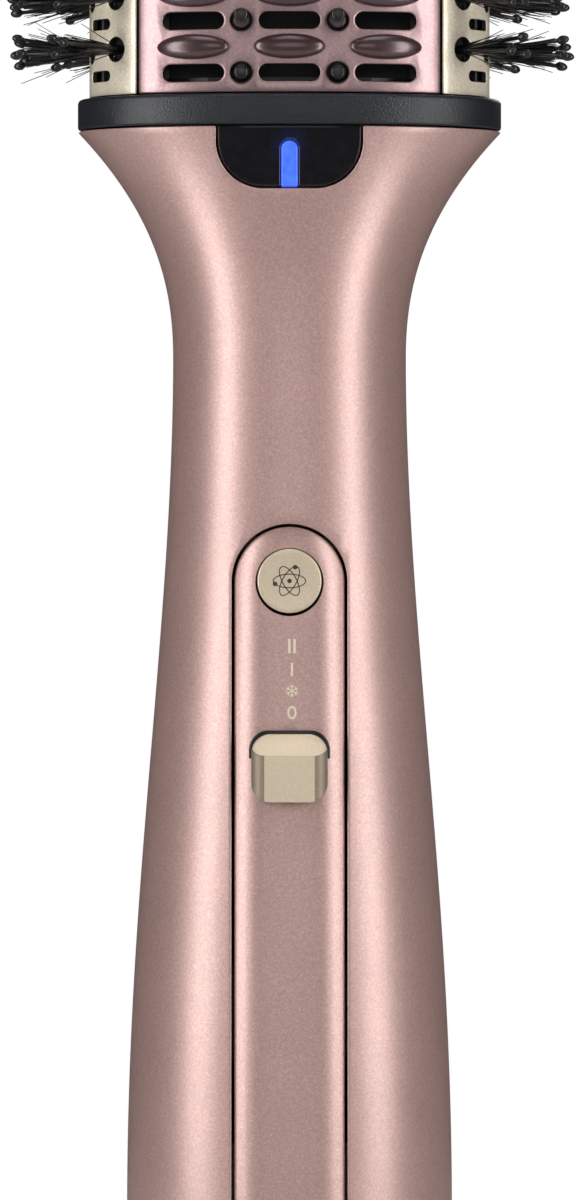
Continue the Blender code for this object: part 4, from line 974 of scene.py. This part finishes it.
# %% Ring tool
def oval_body(name, levels, power, vertices=144, hollow=True):
    """Levels are (half width, half depth, height). A hollow body's last ring is bridged to its first."""
    bpy.ops.object.select_all(action="DESELECT")
    bpy.ops.mesh.primitive_circle_add(vertices=vertices, radius=1)
    obj = bpy.context.object
    obj.name = name
    for vertex in obj.data.vertices:
        x, y = vertex.co.x, vertex.co.y
        vertex.co.x = abs(x) ** (2 / power) * (1 if x > 0 else -1)
        vertex.co.y = abs(y) ** (2 / power) * (1 if y > 0 else -1)
    bpy.ops.object.mode_set(mode="EDIT")
    bpy.ops.mesh.select_mode(type="EDGE")
    bpy.ops.mesh.select_all(action="SELECT")
    wide, deep, height = levels[0]
    bpy.ops.transform.resize(value=(wide, deep, 1), center_override=CENTRE)
    bpy.ops.transform.translate(value=(0, 0, height))
    for next_wide, next_deep, next_height in levels[1:]:
        bpy.ops.mesh.extrude_region_move(TRANSFORM_OT_translate={"value": (0, 0, next_height - height)})
        share = (next_wide / wide, next_deep / deep, 1)
        bpy.ops.transform.resize(value=share, center_override=(0, 0, next_height))
        wide, deep, height = next_wide, next_deep, next_height
    bpy.ops.mesh.select_all(action="DESELECT")
    bpy.ops.mesh.select_non_manifold()
    if hollow:
        bpy.ops.mesh.bridge_edge_loops()
    else:
        bpy.ops.mesh.fill_holes(sides=0)
    face_out()
    return obj


def rounded(half_width, half_depth, low, high, radius, steps=5):
    """Levels of an outer wall from low to high that rolls inwards over its top edge."""
    made = [(half_width, half_depth, low)]
    for i in range(steps + 1):
        turn = pi / 2 * i / steps
        inset = radius * (1 - cos(turn))
        made.append((half_width - inset, half_depth - inset, high - radius * (1 - sin(turn))))
    return made


# %% [markdown]
# ## Collar
# A charcoal ring with a fine grain closes the handle. Both its edges are rounded, the upper one more, and a
# lip inside reaches down into the shells, so that no light passes the joint. A flat oval with a bevelled edge
# would look alike, but the ring tool gives the lip in the same move.

# %% Collar
HEAD_OVAL = 2.2
COLLAR_HALF = (collar_high.x, collar_high.y)

INNER_SHARE = 0.84
LIP_WALL = (1.3 * MM, 0.7 * MM)
LIP_DEPTH = 1.8 * MM

foot = 0.45 * MM
levels = []
for turn in (0, 0.4, 0.8, 1.2):
    inset = foot * (1 - sin(turn))
    levels.append((COLLAR_HALF[0] - inset, COLLAR_HALF[1] - inset, collar_low.z + foot * (1 - cos(turn))))
levels += rounded(*COLLAR_HALF, collar_low.z + foot, collar_high.z, 0.75 * MM)
inner = [half_size * INNER_SHARE for half_size in COLLAR_HALF]
lip = [size + wall for size, wall in zip(inner, LIP_WALL)]
lip_low = collar_low.z - LIP_DEPTH
levels += [(*inner, collar_high.z), (*inner, lip_low), (*lip, lip_low), (*lip, collar_low.z)]
collar = oval_body("collar", levels, HEAD_OVAL, 200)
hand_over(collar, "collar_charcoal", "brush", CHARCOAL, ["collar_ring"])

# %% [markdown]
# ## The head's form
# The head is the same kind of oval all the way up. The front and rear plates keep their x when they bend.
# The gold sides are laid out by the length of their arc, which a table turns back into an angle.

# %% Where a flat point goes on the head
panel_low, panel_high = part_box("head_front_panel")
side_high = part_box("head_side_right")[1]
HEAD_LOW = panel_low.z
HEAD_HIGH = panel_high.z
DOME_RISE = 1.5 * MM
HEAD_HALF = (side_high.x, -panel_low.y - DOME_RISE)
PANEL_HALF = panel_high.x
SEAM = 0.5 * MM
ROW_PITCH = 8.5 * MM
FIRST_ROW = 3.2 * MM
SLOT_ROWS = [HEAD_LOW + FIRST_ROW + i * ROW_PITCH for i in range(11)]
DOME_ROWS = [z + ROW_PITCH / 2 for z in SLOT_ROWS[:-1]]
COLUMNS = (-15.7 * MM, 0, 15.7 * MM)


def on_plate(x, y, z):
    return x, -oval_y(x, HEAD_HALF[0] - y, HEAD_HALF[1] - y, HEAD_OVAL), z


def head_point(angle, inset=0.0):
    s, c = sin(angle), cos(angle)
    x = (HEAD_HALF[0] - inset) * abs(s) ** (2 / HEAD_OVAL) * (1 if s > 0 else -1)
    y = -(HEAD_HALF[1] - inset) * abs(c) ** (2 / HEAD_OVAL) * (1 if c > 0 else -1)
    return Vector((x, y, 0))


def head_out(angle):
    """Outward direction of the oval at this angle."""
    along = head_point(angle + 0.01) - head_point(angle - 0.01)
    return Vector((along.y, -along.x, 0)).normalized()


ARC_STEPS = 720
arc_angles = [pi * i / ARC_STEPS for i in range(ARC_STEPS + 1)]
arc_lengths = [0.0]
for before, after in zip(arc_angles, arc_angles[1:]):
    arc_lengths.append(arc_lengths[-1] + (head_point(after) - head_point(before)).length)


def arc_of(angle):
    """Length of the oval from its side (90 degrees) to this angle, positive towards the rear."""
    place = angle / pi * ARC_STEPS
    i = min(int(place), ARC_STEPS - 1)
    length = arc_lengths[i] + (arc_lengths[i + 1] - arc_lengths[i]) * (place - i)
    return length - arc_lengths[ARC_STEPS // 2]


def angle_of(arc):
    """The other way round."""
    wanted = arc + arc_lengths[ARC_STEPS // 2]
    low, high = 0, ARC_STEPS
    while high - low > 1:
        middle = (low + high) // 2
        if arc_lengths[middle] < wanted:
            low = middle
        else:
            high = middle
    share = (wanted - arc_lengths[low]) / (arc_lengths[high] - arc_lengths[low])
    return pi * (low + share) / ARC_STEPS


def on_side(x, y, z):
    angle = angle_of(x)
    place = head_point(angle) - head_out(angle) * y
    return place.x, place.y, z


print("half arc of the head", round(arc_of(pi) / MM, 1), "mm")

# %% [markdown]
# ## Front and rear plates
# Each plate has eleven rows of air slots with round holes for pins between them. Fifty-five cuts, one by
# one, would be slow. So all cutters are laid out on the flat plate, joined and cut in one go, and the rims
# are rounded before the plate is bent.

# %% Plates of the head
AIR_SLOT = (10 * MM, 2.8 * MM)
PIN_HOLE = 1.75 * MM
PLATE_WALL = 1.2 * MM
PIN_XS = (COLUMNS[0] / 2, COLUMNS[2] / 2)


def paint_shade_inside(obj):
    """The walls of the openings and the inner face take the second finish, a black that paints the shade in
    the openings.
    """
    for face in obj.data.polygons:
        face.material_index = int(face.normal.y > -0.3)


slot_x, slot_z = AIR_SLOT[0] / 2, AIR_SLOT[1] / 2
base_slot = plate("slot", (-slot_x, slot_x), (-slot_z, slot_z), CUTTER_Y, slot_z, "all", 7)
thicken(base_slot, 4 * MM)
base_hole = disc("hole", 0, 0, CUTTER_Y, PIN_HOLE, 4 * MM, 28)
cutters = [twin(base_slot, Matrix.Translation((x, 0, z))) for x in COLUMNS for z in SLOT_ROWS]
cutters += [twin(base_hole, Matrix.Translation((x, 0, z))) for x in PIN_XS for z in SLOT_ROWS]
head_plate = plate("head_plate", (-PANEL_HALF, PANEL_HALF), (HEAD_LOW, HEAD_HIGH))
thicken(head_plate, PLATE_WALL)
cut(head_plate, joined(cutters, "cutters"))
round_rims(head_plate, 0, 0.32 * MM)
# Painted shade: the walls of the slots and pin holes take the black finish.
paint_shade_inside(head_plate)
slice_up(head_plate, steps_between(-PANEL_HALF, PANEL_HALF, 1.37 * MM), SLOT_ROWS + DOME_ROWS)
rear_plate = twin(head_plate, Matrix.Identity(4))
wrap(head_plate, on_plate)
wrap(rear_plate, turned_round(on_plate))
hand_over(head_plate, "head_plate_front", "brush", ROSE_PLATE, ["head_front_panel"],
          inside=FRAME_BLACK)
hand_over(rear_plate, "head_plate_rear", "brush", ROSE_PLATE, ["head_rear_panel"],
          inside=FRAME_BLACK)
for spare in (base_slot, base_hole):
    bpy.data.objects.remove(spare)

# %% [markdown]
# ## Domes
# Between the rows of slots, long glossy domes lift the hair off the hot plate. A sphere is squashed to a long
# oval and cut at its waist, and a low rim is pulled out of the cut. It is copied to all thirty places.

# %% Domes
DOME = (5.95 * MM, DOME_RISE, 2.1 * MM)

bpy.ops.object.select_all(action="DESELECT")
bpy.ops.mesh.primitive_uv_sphere_add(segments=28, ring_count=14, radius=1, rotation=(pi / 2, 0, 0))
dome = bpy.context.object
dome.scale = (DOME[0], DOME[2], DOME[1])
bpy.ops.object.transform_apply(rotation=True, scale=True)
bpy.ops.object.mode_set(mode="EDIT")
bpy.ops.mesh.select_mode(type="EDGE")
bpy.ops.mesh.select_all(action="SELECT")
bpy.ops.mesh.bisect(plane_co=(0, -0.05 * MM, 0), plane_no=(0, 1, 0), clear_outer=True, threshold=1e-7)
bpy.ops.mesh.select_all(action="DESELECT")
bpy.ops.mesh.select_non_manifold()
bpy.ops.mesh.extrude_region_move(TRANSFORM_OT_translate={"value": (0, 0.4 * MM, 0)})
bpy.ops.mesh.edge_face_add()
face_out()
for side, form in (("front", on_plate), ("rear", turned_round(on_plate))):
    domes = joined([twin(dome, Matrix.Translation((x, 0, z))) for x in COLUMNS for z in DOME_ROWS], "domes")
    wrap(domes, form)
    hand_over(domes, f"head_domes_{side}", "brush", DOME_PLUM, smooth=50)
bpy.data.objects.remove(dome)

# %% [markdown]
# ## Pins
# Two columns of black nylon pins stand in the round holes of each plate. The pin next to the collar is only
# a stub, so that a finger can hold the brush there. A strip inside the head carries each column. One pin is
# shaped from a cylinder, whose front face is narrowed and softened, and then copied up the column.

# %% Pins
PIN_ROOT = 1.4 * MM
PIN_TIP = 1.12 * MM


def pin(length):
    """A pin at x = 0, z = 0 that starts inside the plate and ends in a rounded tip."""
    made = disc("pin", 0, 0, -length, PIN_ROOT, length + 2.4 * MM, 18)
    pick(made, "FACE", lambda centre, normal: normal.y < -0.9)
    share = PIN_TIP / PIN_ROOT
    bpy.ops.transform.resize(value=(share, 1, share), center_override=(0, -length, 0))
    soften(0.35 * MM)
    return made


stub = pin(2 * MM)
tall = pin(14 * MM)
for side, turn in (("front", 0), ("rear", pi)):
    for x in PIN_XS:
        surface = on_plate(x, 0, 0)[1]
        placed = [twin(stub, Matrix.Translation((x, surface, SLOT_ROWS[0])))]
        placed += [twin(tall, Matrix.Translation((x, surface, z))) for z in SLOT_ROWS[1:]]
        strip_y = surface + 2.0 * MM
        backing = plate("backing", (x - 2 * MM, x + 2 * MM), (HEAD_LOW + MM, HEAD_HIGH - MM), strip_y)
        thicken(backing, 1.2 * MM)
        round_rims(backing, strip_y, 0.3 * MM)
        pins = joined([backing] + placed, "pins")
        pins.data.transform(Matrix.Rotation(turn, 4, "Z"))
        hand = "left" if (x < 0) == (side == "front") else "right"
        hand_over(pins, f"pins_{side}_{hand}", "brush", NYLON, [f"pin_strip_{side}_{hand}"])
for spare in (stub, tall):
    bpy.data.objects.remove(spare)

# %% [markdown]
# ## Gold sides
# The sides are thin champagne metal with four columns of round holes, through which the bristles come, and
# short slots between them for the air. They curve more than the plates, so they are laid out by arc length:
# holes stay round and walls stay even when the flat sheet is bent.

# %% Gold sides
TUFT_ANGLES = (58.5, 80, 100, 121.5)
SLOT_ANGLES = ((62, 79), (101, 118))
TUFT_HOLE = 2.05 * MM
SIDE_WALL = 0.8 * MM
SIDE_SLOT = 1.75 * MM

edge_angle = asin(((PANEL_HALF + SEAM) / HEAD_HALF[0]) ** (HEAD_OVAL / 2))
side_half = arc_of(pi - edge_angle)
gold = plate("gold", (-side_half, side_half), (HEAD_LOW, HEAD_HIGH))
thicken(gold, SIDE_WALL)
base_hole = disc("hole", 0, 0, CUTTER_Y, TUFT_HOLE, 3 * MM, 24)
cutters = []
for angle in TUFT_ANGLES:
    arc = arc_of(radians(angle))
    cutters += [twin(base_hole, Matrix.Translation((arc, 0, z))) for z in DOME_ROWS]
for angles in SLOT_ANGLES:
    arcs = [arc_of(radians(angle)) for angle in angles]
    base_slot = plate("slot", arcs, (-SIDE_SLOT / 2, SIDE_SLOT / 2), CUTTER_Y, SIDE_SLOT / 2, "all", 5)
    thicken(base_slot, 3 * MM)
    cutters += [twin(base_slot, Matrix.Translation((0, 0, z))) for z in SLOT_ROWS]
    bpy.data.objects.remove(base_slot)
cut(gold, joined(cutters, "cutters"))
bpy.data.objects.remove(base_hole)
round_rims(gold, 0, 0.2 * MM)
# Painted shade: the walls of the tuft holes and air slots take the black finish.
paint_shade_inside(gold)
slice_up(gold, steps_between(-side_half, side_half, 1.3 * MM), SLOT_ROWS + DOME_ROWS)
gold_left = twin(gold, Matrix.Identity(4))
wrap(gold, on_side)
wrap(gold_left, turned_round(on_side))
hand_over(gold, "gold_side_right", "brush", GOLD, ["head_side_right"], inside=FRAME_BLACK)
hand_over(gold_left, "gold_side_left", "brush", GOLD, ["head_side_left"], inside=FRAME_BLACK)

# %% [markdown]
# ## Bristles
# A tuft is a bundle of fine black bristles that fans out, with a few strays, and three thicker nylon pins
# with a ball on the tip. One bristle is a three-sided needle of a few rings, bent a little. It is copied into
# the tuft at seeded random leans and lengths, and the tuft is copied down each column at random turns.

# %% One bristle and one ball pin
random.seed(21)
BRISTLE_LENGTH = 10 * MM
BRISTLE_RADIUS = 0.13 * MM
ROOT_DEPTH = 2 * MM
BALL = (0.75 * MM, 1.15 * MM)
BALL_Z = 12.4 * MM


def needle(length, radius, sides, rings, tip_share):
    """A thin upright needle from below z = 0 to z = length, tapered to its tip."""
    bpy.ops.object.select_all(action="DESELECT")
    root = -ROOT_DEPTH
    depth = length - root
    middle = (0, 0, root + depth / 2)
    bpy.ops.mesh.primitive_cone_add(
        vertices=sides, radius1=radius, radius2=radius * tip_share, depth=depth, location=middle
    )
    made = bpy.context.object
    bpy.ops.object.transform_apply(location=True)
    bpy.ops.object.mode_set(mode="EDIT")
    for i in range(1, rings):
        bpy.ops.mesh.select_all(action="SELECT")
        bpy.ops.mesh.bisect(plane_co=(0, 0, root + depth * i / rings), plane_no=(0, 0, 1), threshold=1e-7)
    bpy.ops.object.mode_set(mode="OBJECT")
    return made


bristle = needle(BRISTLE_LENGTH, BRISTLE_RADIUS, 3, 4, 0.55)
ball_pin = needle(11.8 * MM, 0.40 * MM, 8, 3, 0.85)
bpy.ops.object.select_all(action="DESELECT")
bpy.ops.mesh.primitive_uv_sphere_add(segments=14, ring_count=10, radius=1, location=(0, 0, BALL_Z))
ball = bpy.context.object
ball.scale = (BALL[0], BALL[0], BALL[1])
bpy.ops.object.transform_apply(location=True, scale=True)
pick(ball, "VERT", lambda p: p.z < 12.0 * MM)
bpy.ops.transform.resize(value=(0.72, 0.72, 1), center_override=CENTRE)
bpy.ops.object.mode_set(mode="OBJECT")
cut(ball_pin, ball, "UNION")
print("faces of a bristle and of a ball pin:", len(bristle.data.polygons), len(ball_pin.data.polygons))

# %% A tuft
BRISTLES = 76
STRAY_SHARE = 0.12
BALL_PINS = 3
BALL_PIN_START = 0.45 * MM


def bent(obj, lean, heading, bow, reach, start):
    """A copy of the needle. It starts off the middle, leans towards its heading, bows and reaches further."""
    made = twin(obj, Matrix.Identity(4))
    side = Vector((cos(heading), sin(heading), 0))
    for vertex in made.data.vertices:
        share = max(vertex.co.z, 0) / BRISTLE_LENGTH
        out = vertex.co.z * reach
        vertex.co = Vector((vertex.co.x, vertex.co.y, out)) + side * (sin(lean) * out + bow * share ** 2)
    made.data.transform(Matrix.Translation(side * start))
    return made


def tuft():
    made = []
    for _ in range(BRISTLES):
        heading = random.uniform(0, 2 * pi)
        stray = random.random() < STRAY_SHARE
        lean = random.uniform(0.16, 0.42) if stray else abs(random.gauss(0, 0.085))
        start = random.uniform(0, 0.75) * MM
        bow = random.gauss(0, 0.5) * MM
        reach = random.uniform(0.82, 1.22)
        made.append(bent(bristle, lean, heading, bow, reach, start))
    for i in range(BALL_PINS):
        heading = 2 * pi * (i + random.uniform(-0.2, 0.2)) / BALL_PINS
        lean = random.uniform(0.02, 0.12)
        reach = random.uniform(0.97, 1.06)
        made.append(bent(ball_pin, lean, heading, 0.2 * MM, reach, BALL_PIN_START))
    return joined(made, "tuft")


tufts = [tuft() for _ in range(3)]
print("faces in a tuft:", [len(t.data.polygons) for t in tufts])

# %% [markdown]
# Each column stands on a strip behind the gold side. Upright tufts are laid over into the outward direction
# of the oval, so the third axis of the tuft becomes that direction.

# %% Columns of tufts
BACKING_HALF = 1.8 * MM
BACKING_Y = 1.4 * MM

for number, degrees in enumerate(TUFT_ANGLES, 1):
    angle = radians(degrees)
    out = head_out(angle)
    along = Vector((-out.y, out.x, 0))
    lay = Matrix((along, Vector((0, 0, 1)), out)).transposed().to_4x4()
    foot = head_point(angle)
    for hand, half_turn in (("right", 0), ("left", pi)):
        column = []
        for z in DOME_ROWS:
            spin = Matrix.Rotation(random.uniform(0, 2 * pi), 4, "Z")
            place = Matrix.Translation(foot + Vector((0, 0, z)))
            column.append(twin(random.choice(tufts), place @ lay @ spin))
        backing = plate("backing", (-BACKING_HALF, BACKING_HALF), (HEAD_LOW + MM, HEAD_HIGH - MM), BACKING_Y)
        thicken(backing, 1.3 * MM)
        round_rims(backing, BACKING_Y, 0.3 * MM)
        backing.data.transform(Matrix.Translation(foot) @ Matrix.Rotation(atan2(out.x, -out.y), 4, "Z"))
        column = joined([backing] + column, "column")
        column.data.transform(Matrix.Rotation(half_turn, 4, "Z"))
        label = number if hand == "right" else len(TUFT_ANGLES) + 1 - number
        node = f"bristle_strip_{hand}_{label}"
        hand_over(column, f"tufts_{hand}_{label}", "brush", NYLON, [node])
for spare in tufts + [bristle, ball_pin]:
    bpy.data.objects.remove(spare)

# %% [markdown]
# ## End cap
# A charcoal cap closes the head. Its shoulder is round and its top has a shallow dish, where a fingertip can
# hold the brush while it is hot. The ring tool makes it as one body: levels that follow a quarter circle roll
# the shoulder, the next ones sink into the dish, and the last ring is filled.

# %% End cap
cap_low, cap_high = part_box("head_end_cap")
CAP_HALF = (cap_high.x, cap_high.y)
CAP_TALL = cap_high.z - cap_low.z
CAP_WALL_SHARE = 0.3
SHOULDER = 6.5 * MM
CROWN = 0.12 * MM
DISH_STEPS = ((0.4, 0.12), (0.9, 0.4), (1.6, 0.62), (2.8, 0.75))

levels = [(*CAP_HALF, cap_low.z), (*CAP_HALF, cap_low.z + CAP_WALL_SHARE * CAP_TALL)]
for i in range(1, 13):
    turn = radians(78 * i / 12)
    inset = SHOULDER * (1 - cos(turn))
    share = CAP_WALL_SHARE + (1 - CAP_WALL_SHARE) * sin(turn)
    levels.append((CAP_HALF[0] - inset, CAP_HALF[1] - inset, cap_low.z + CAP_TALL * share))
top = levels[-1]
rim = (CAP_HALF[0] * 0.5, CAP_HALF[1] * 0.5)
for share in (0.35, 0.7, 1.0):
    height = top[2] + CROWN * share
    levels.append((top[0] + (rim[0] - top[0]) * share, top[1] + (rim[1] - top[1]) * share, height))
for inset, sink in DISH_STEPS:
    levels.append((rim[0] - inset * MM, rim[1] - inset * MM, top[2] - sink * MM))
end_cap = oval_body("end_cap", levels, HEAD_OVAL, 160, hollow=False)
hand_over(end_cap, "end_cap_charcoal", "brush", CHARCOAL, ["head_end_cap"])

# %% [markdown]
# ## Base
# The foot of the handle is a charcoal cup. Its floor has a ring of slots through which the fan draws air, and
# a bore in which the cord's sleeve turns. The cup is a ring whose levels run up its outer wall, down its
# inner wall and in to the bore. One slot cutter is a box with softened edges, and a loop turns it round.

# %% Base cap
base_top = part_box("base_cap")[1].z
swivel_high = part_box("cord_swivel")[1]
SWIVEL_RADIUS = 8.6 * MM
BASE_FLOOR = 2.5 * MM
BASE_ROUND = 3.0 * MM
BASE_BEVEL = 0.25 * MM
BASE_HALF = handle_size(HANDLE_BOTTOM)
BORE = SWIVEL_RADIUS + 0.4 * MM
BORE_BEVEL = 0.3 * MM
GRILLE_SLOTS = 14
GRILLE_RADIUS = 15.2 * MM
GRILLE_SLOT = (6.0 * MM, 2.2 * MM, 10 * MM)

levels = []
for i in range(9):
    turn = pi / 2 * i / 8
    inset = BASE_ROUND * (1 - sin(turn))
    levels.append((BASE_HALF[0] - inset, BASE_HALF[1] - inset, BASE_ROUND * (1 - cos(turn))))
levels.append((*BASE_HALF, base_top - BASE_BEVEL))
levels.append((BASE_HALF[0] - BASE_BEVEL, BASE_HALF[1] - BASE_BEVEL, base_top))
inner = [size - SHELL_WALL for size in BASE_HALF]
levels += [(*inner, base_top), (*inner, BASE_FLOOR), (BORE, BORE, BASE_FLOOR), (BORE, BORE, BORE_BEVEL),
           (BORE + BORE_BEVEL, BORE + BORE_BEVEL, 0)]
base = oval_body("base", levels, OVAL, 160)
slots = []
for i in range(GRILLE_SLOTS):
    bpy.ops.object.select_all(action="DESELECT")
    bpy.ops.mesh.primitive_cube_add(size=1, location=(GRILLE_RADIUS, 0, 0))
    made = bpy.context.object
    made.scale = GRILLE_SLOT
    bpy.ops.object.transform_apply(location=True, scale=True)
    pick(made, "EDGE", lambda a, b: abs(a.z - b.z) > MM)
    soften(1.05 * MM, 5)
    made.data.transform(Matrix.Rotation(2 * pi * (i + 0.5) / GRILLE_SLOTS + pi / 2, 4, "Z"))
    slots.append(made)
cut(base, joined(slots, "slots"))
hand_over(base, "base_charcoal", "brush", CHARCOAL, ["base_cap"])

# %% [markdown]
# The sleeve is soft black rubber with a flange that the retainer holds down. Three fine grooves run round its
# mouth. It is a turned part, so its profile is one closed loop of radii and heights, and the ring tool lays a
# circle at each of them. The cord itself isn't part of this model.

# %% Cord sleeve
FLANGE = swivel_high.x
NECK = 5.6 * MM
CORD_BORE = 4.0 * MM
flange_low = BASE_FLOOR + 0.4 * MM
flange_high = flange_low + 1.6 * MM

MOUTH_Z = 0.6 * MM
GROOVE_Z = 0.75 * MM
GROOVES = (5.9, 6.7, 7.4)

profile = [(CORD_BORE + MM, MOUTH_Z)]
for radius in GROOVES:
    profile += [(radius * MM, MOUTH_Z), ((radius + 0.12) * MM, GROOVE_Z),
                ((radius + 0.36) * MM, GROOVE_Z), ((radius + 0.48) * MM, MOUTH_Z)]
profile += [(SWIVEL_RADIUS - 0.5 * MM, MOUTH_Z), (SWIVEL_RADIUS - 0.15 * MM, 0.85 * MM),
            (SWIVEL_RADIUS, 1.3 * MM), (SWIVEL_RADIUS, flange_low), (FLANGE, flange_low),
            (FLANGE, flange_high), (NECK, flange_high), (NECK, swivel_high.z), (CORD_BORE, swivel_high.z),
            (CORD_BORE, 1.6 * MM), (CORD_BORE + 0.3 * MM, MM)]
sleeve = oval_body("sleeve", [(radius, radius, z) for radius, z in profile], 2, 64)
hand_over(sleeve, "cord_sleeve", "cord_swivel", RUBBER, ["cord_swivel"])

# %% [markdown]
# ## What stays from the frame
# The inner parts keep their shape and get their finishes: the frame of the head, fan, motor, heater, boards
# and switches. They show only through the slots, but every node carries a finish of its own kind. The nodes
# that a new piece stands for are hidden, and simply take the black one.

# %% Finishes on the frame's own pieces
KEPT = {
    FRAME_BLACK: ("head_frame",),
    GREY: ("fan_impeller", "fan_shroud", "motor_cradle", "swivel_retainer", "slide_switch", "ion_switch"),
    STEEL: ("motor_body", "motor_shaft", "inlet_filter", "ion_emitter", "thermostat", "thermal_fuse"),
    POTTING: ("ion_generator",),
    BOARD: ("control_board", "indicator_led_board"),
    MICA: ("heater_sleeve", "mica_cross"),
    NICHROME: ("heater_coil",),
}
for finish, names in KEPT.items():
    for name in names:
        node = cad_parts[name]
        node.data.materials.clear()
        node.data.materials.append(finish)
dressed = {name for names in KEPT.values() for name in names}
shown = {name for name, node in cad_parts.items() if not node.hide_render}
print("nodes shown without a finish here:", sorted(shown - dressed))
for name in sorted(set(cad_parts) - dressed):
    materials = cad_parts[name].data.materials
    materials.clear()
    materials.append(NYLON)

# %% [markdown]
# ## Sizes and the end
# The box of the finished look is printed beside the box of the frame, to see that they agree.

# %% Print the two boxes and finish
boxes = {"cad": [list(corner) for corner in cad_box], "visual": [list(corner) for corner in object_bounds()]}
for name, corners in boxes.items():
    print(name, [[round(value / MM, 2) for value in corner] for corner in corners])
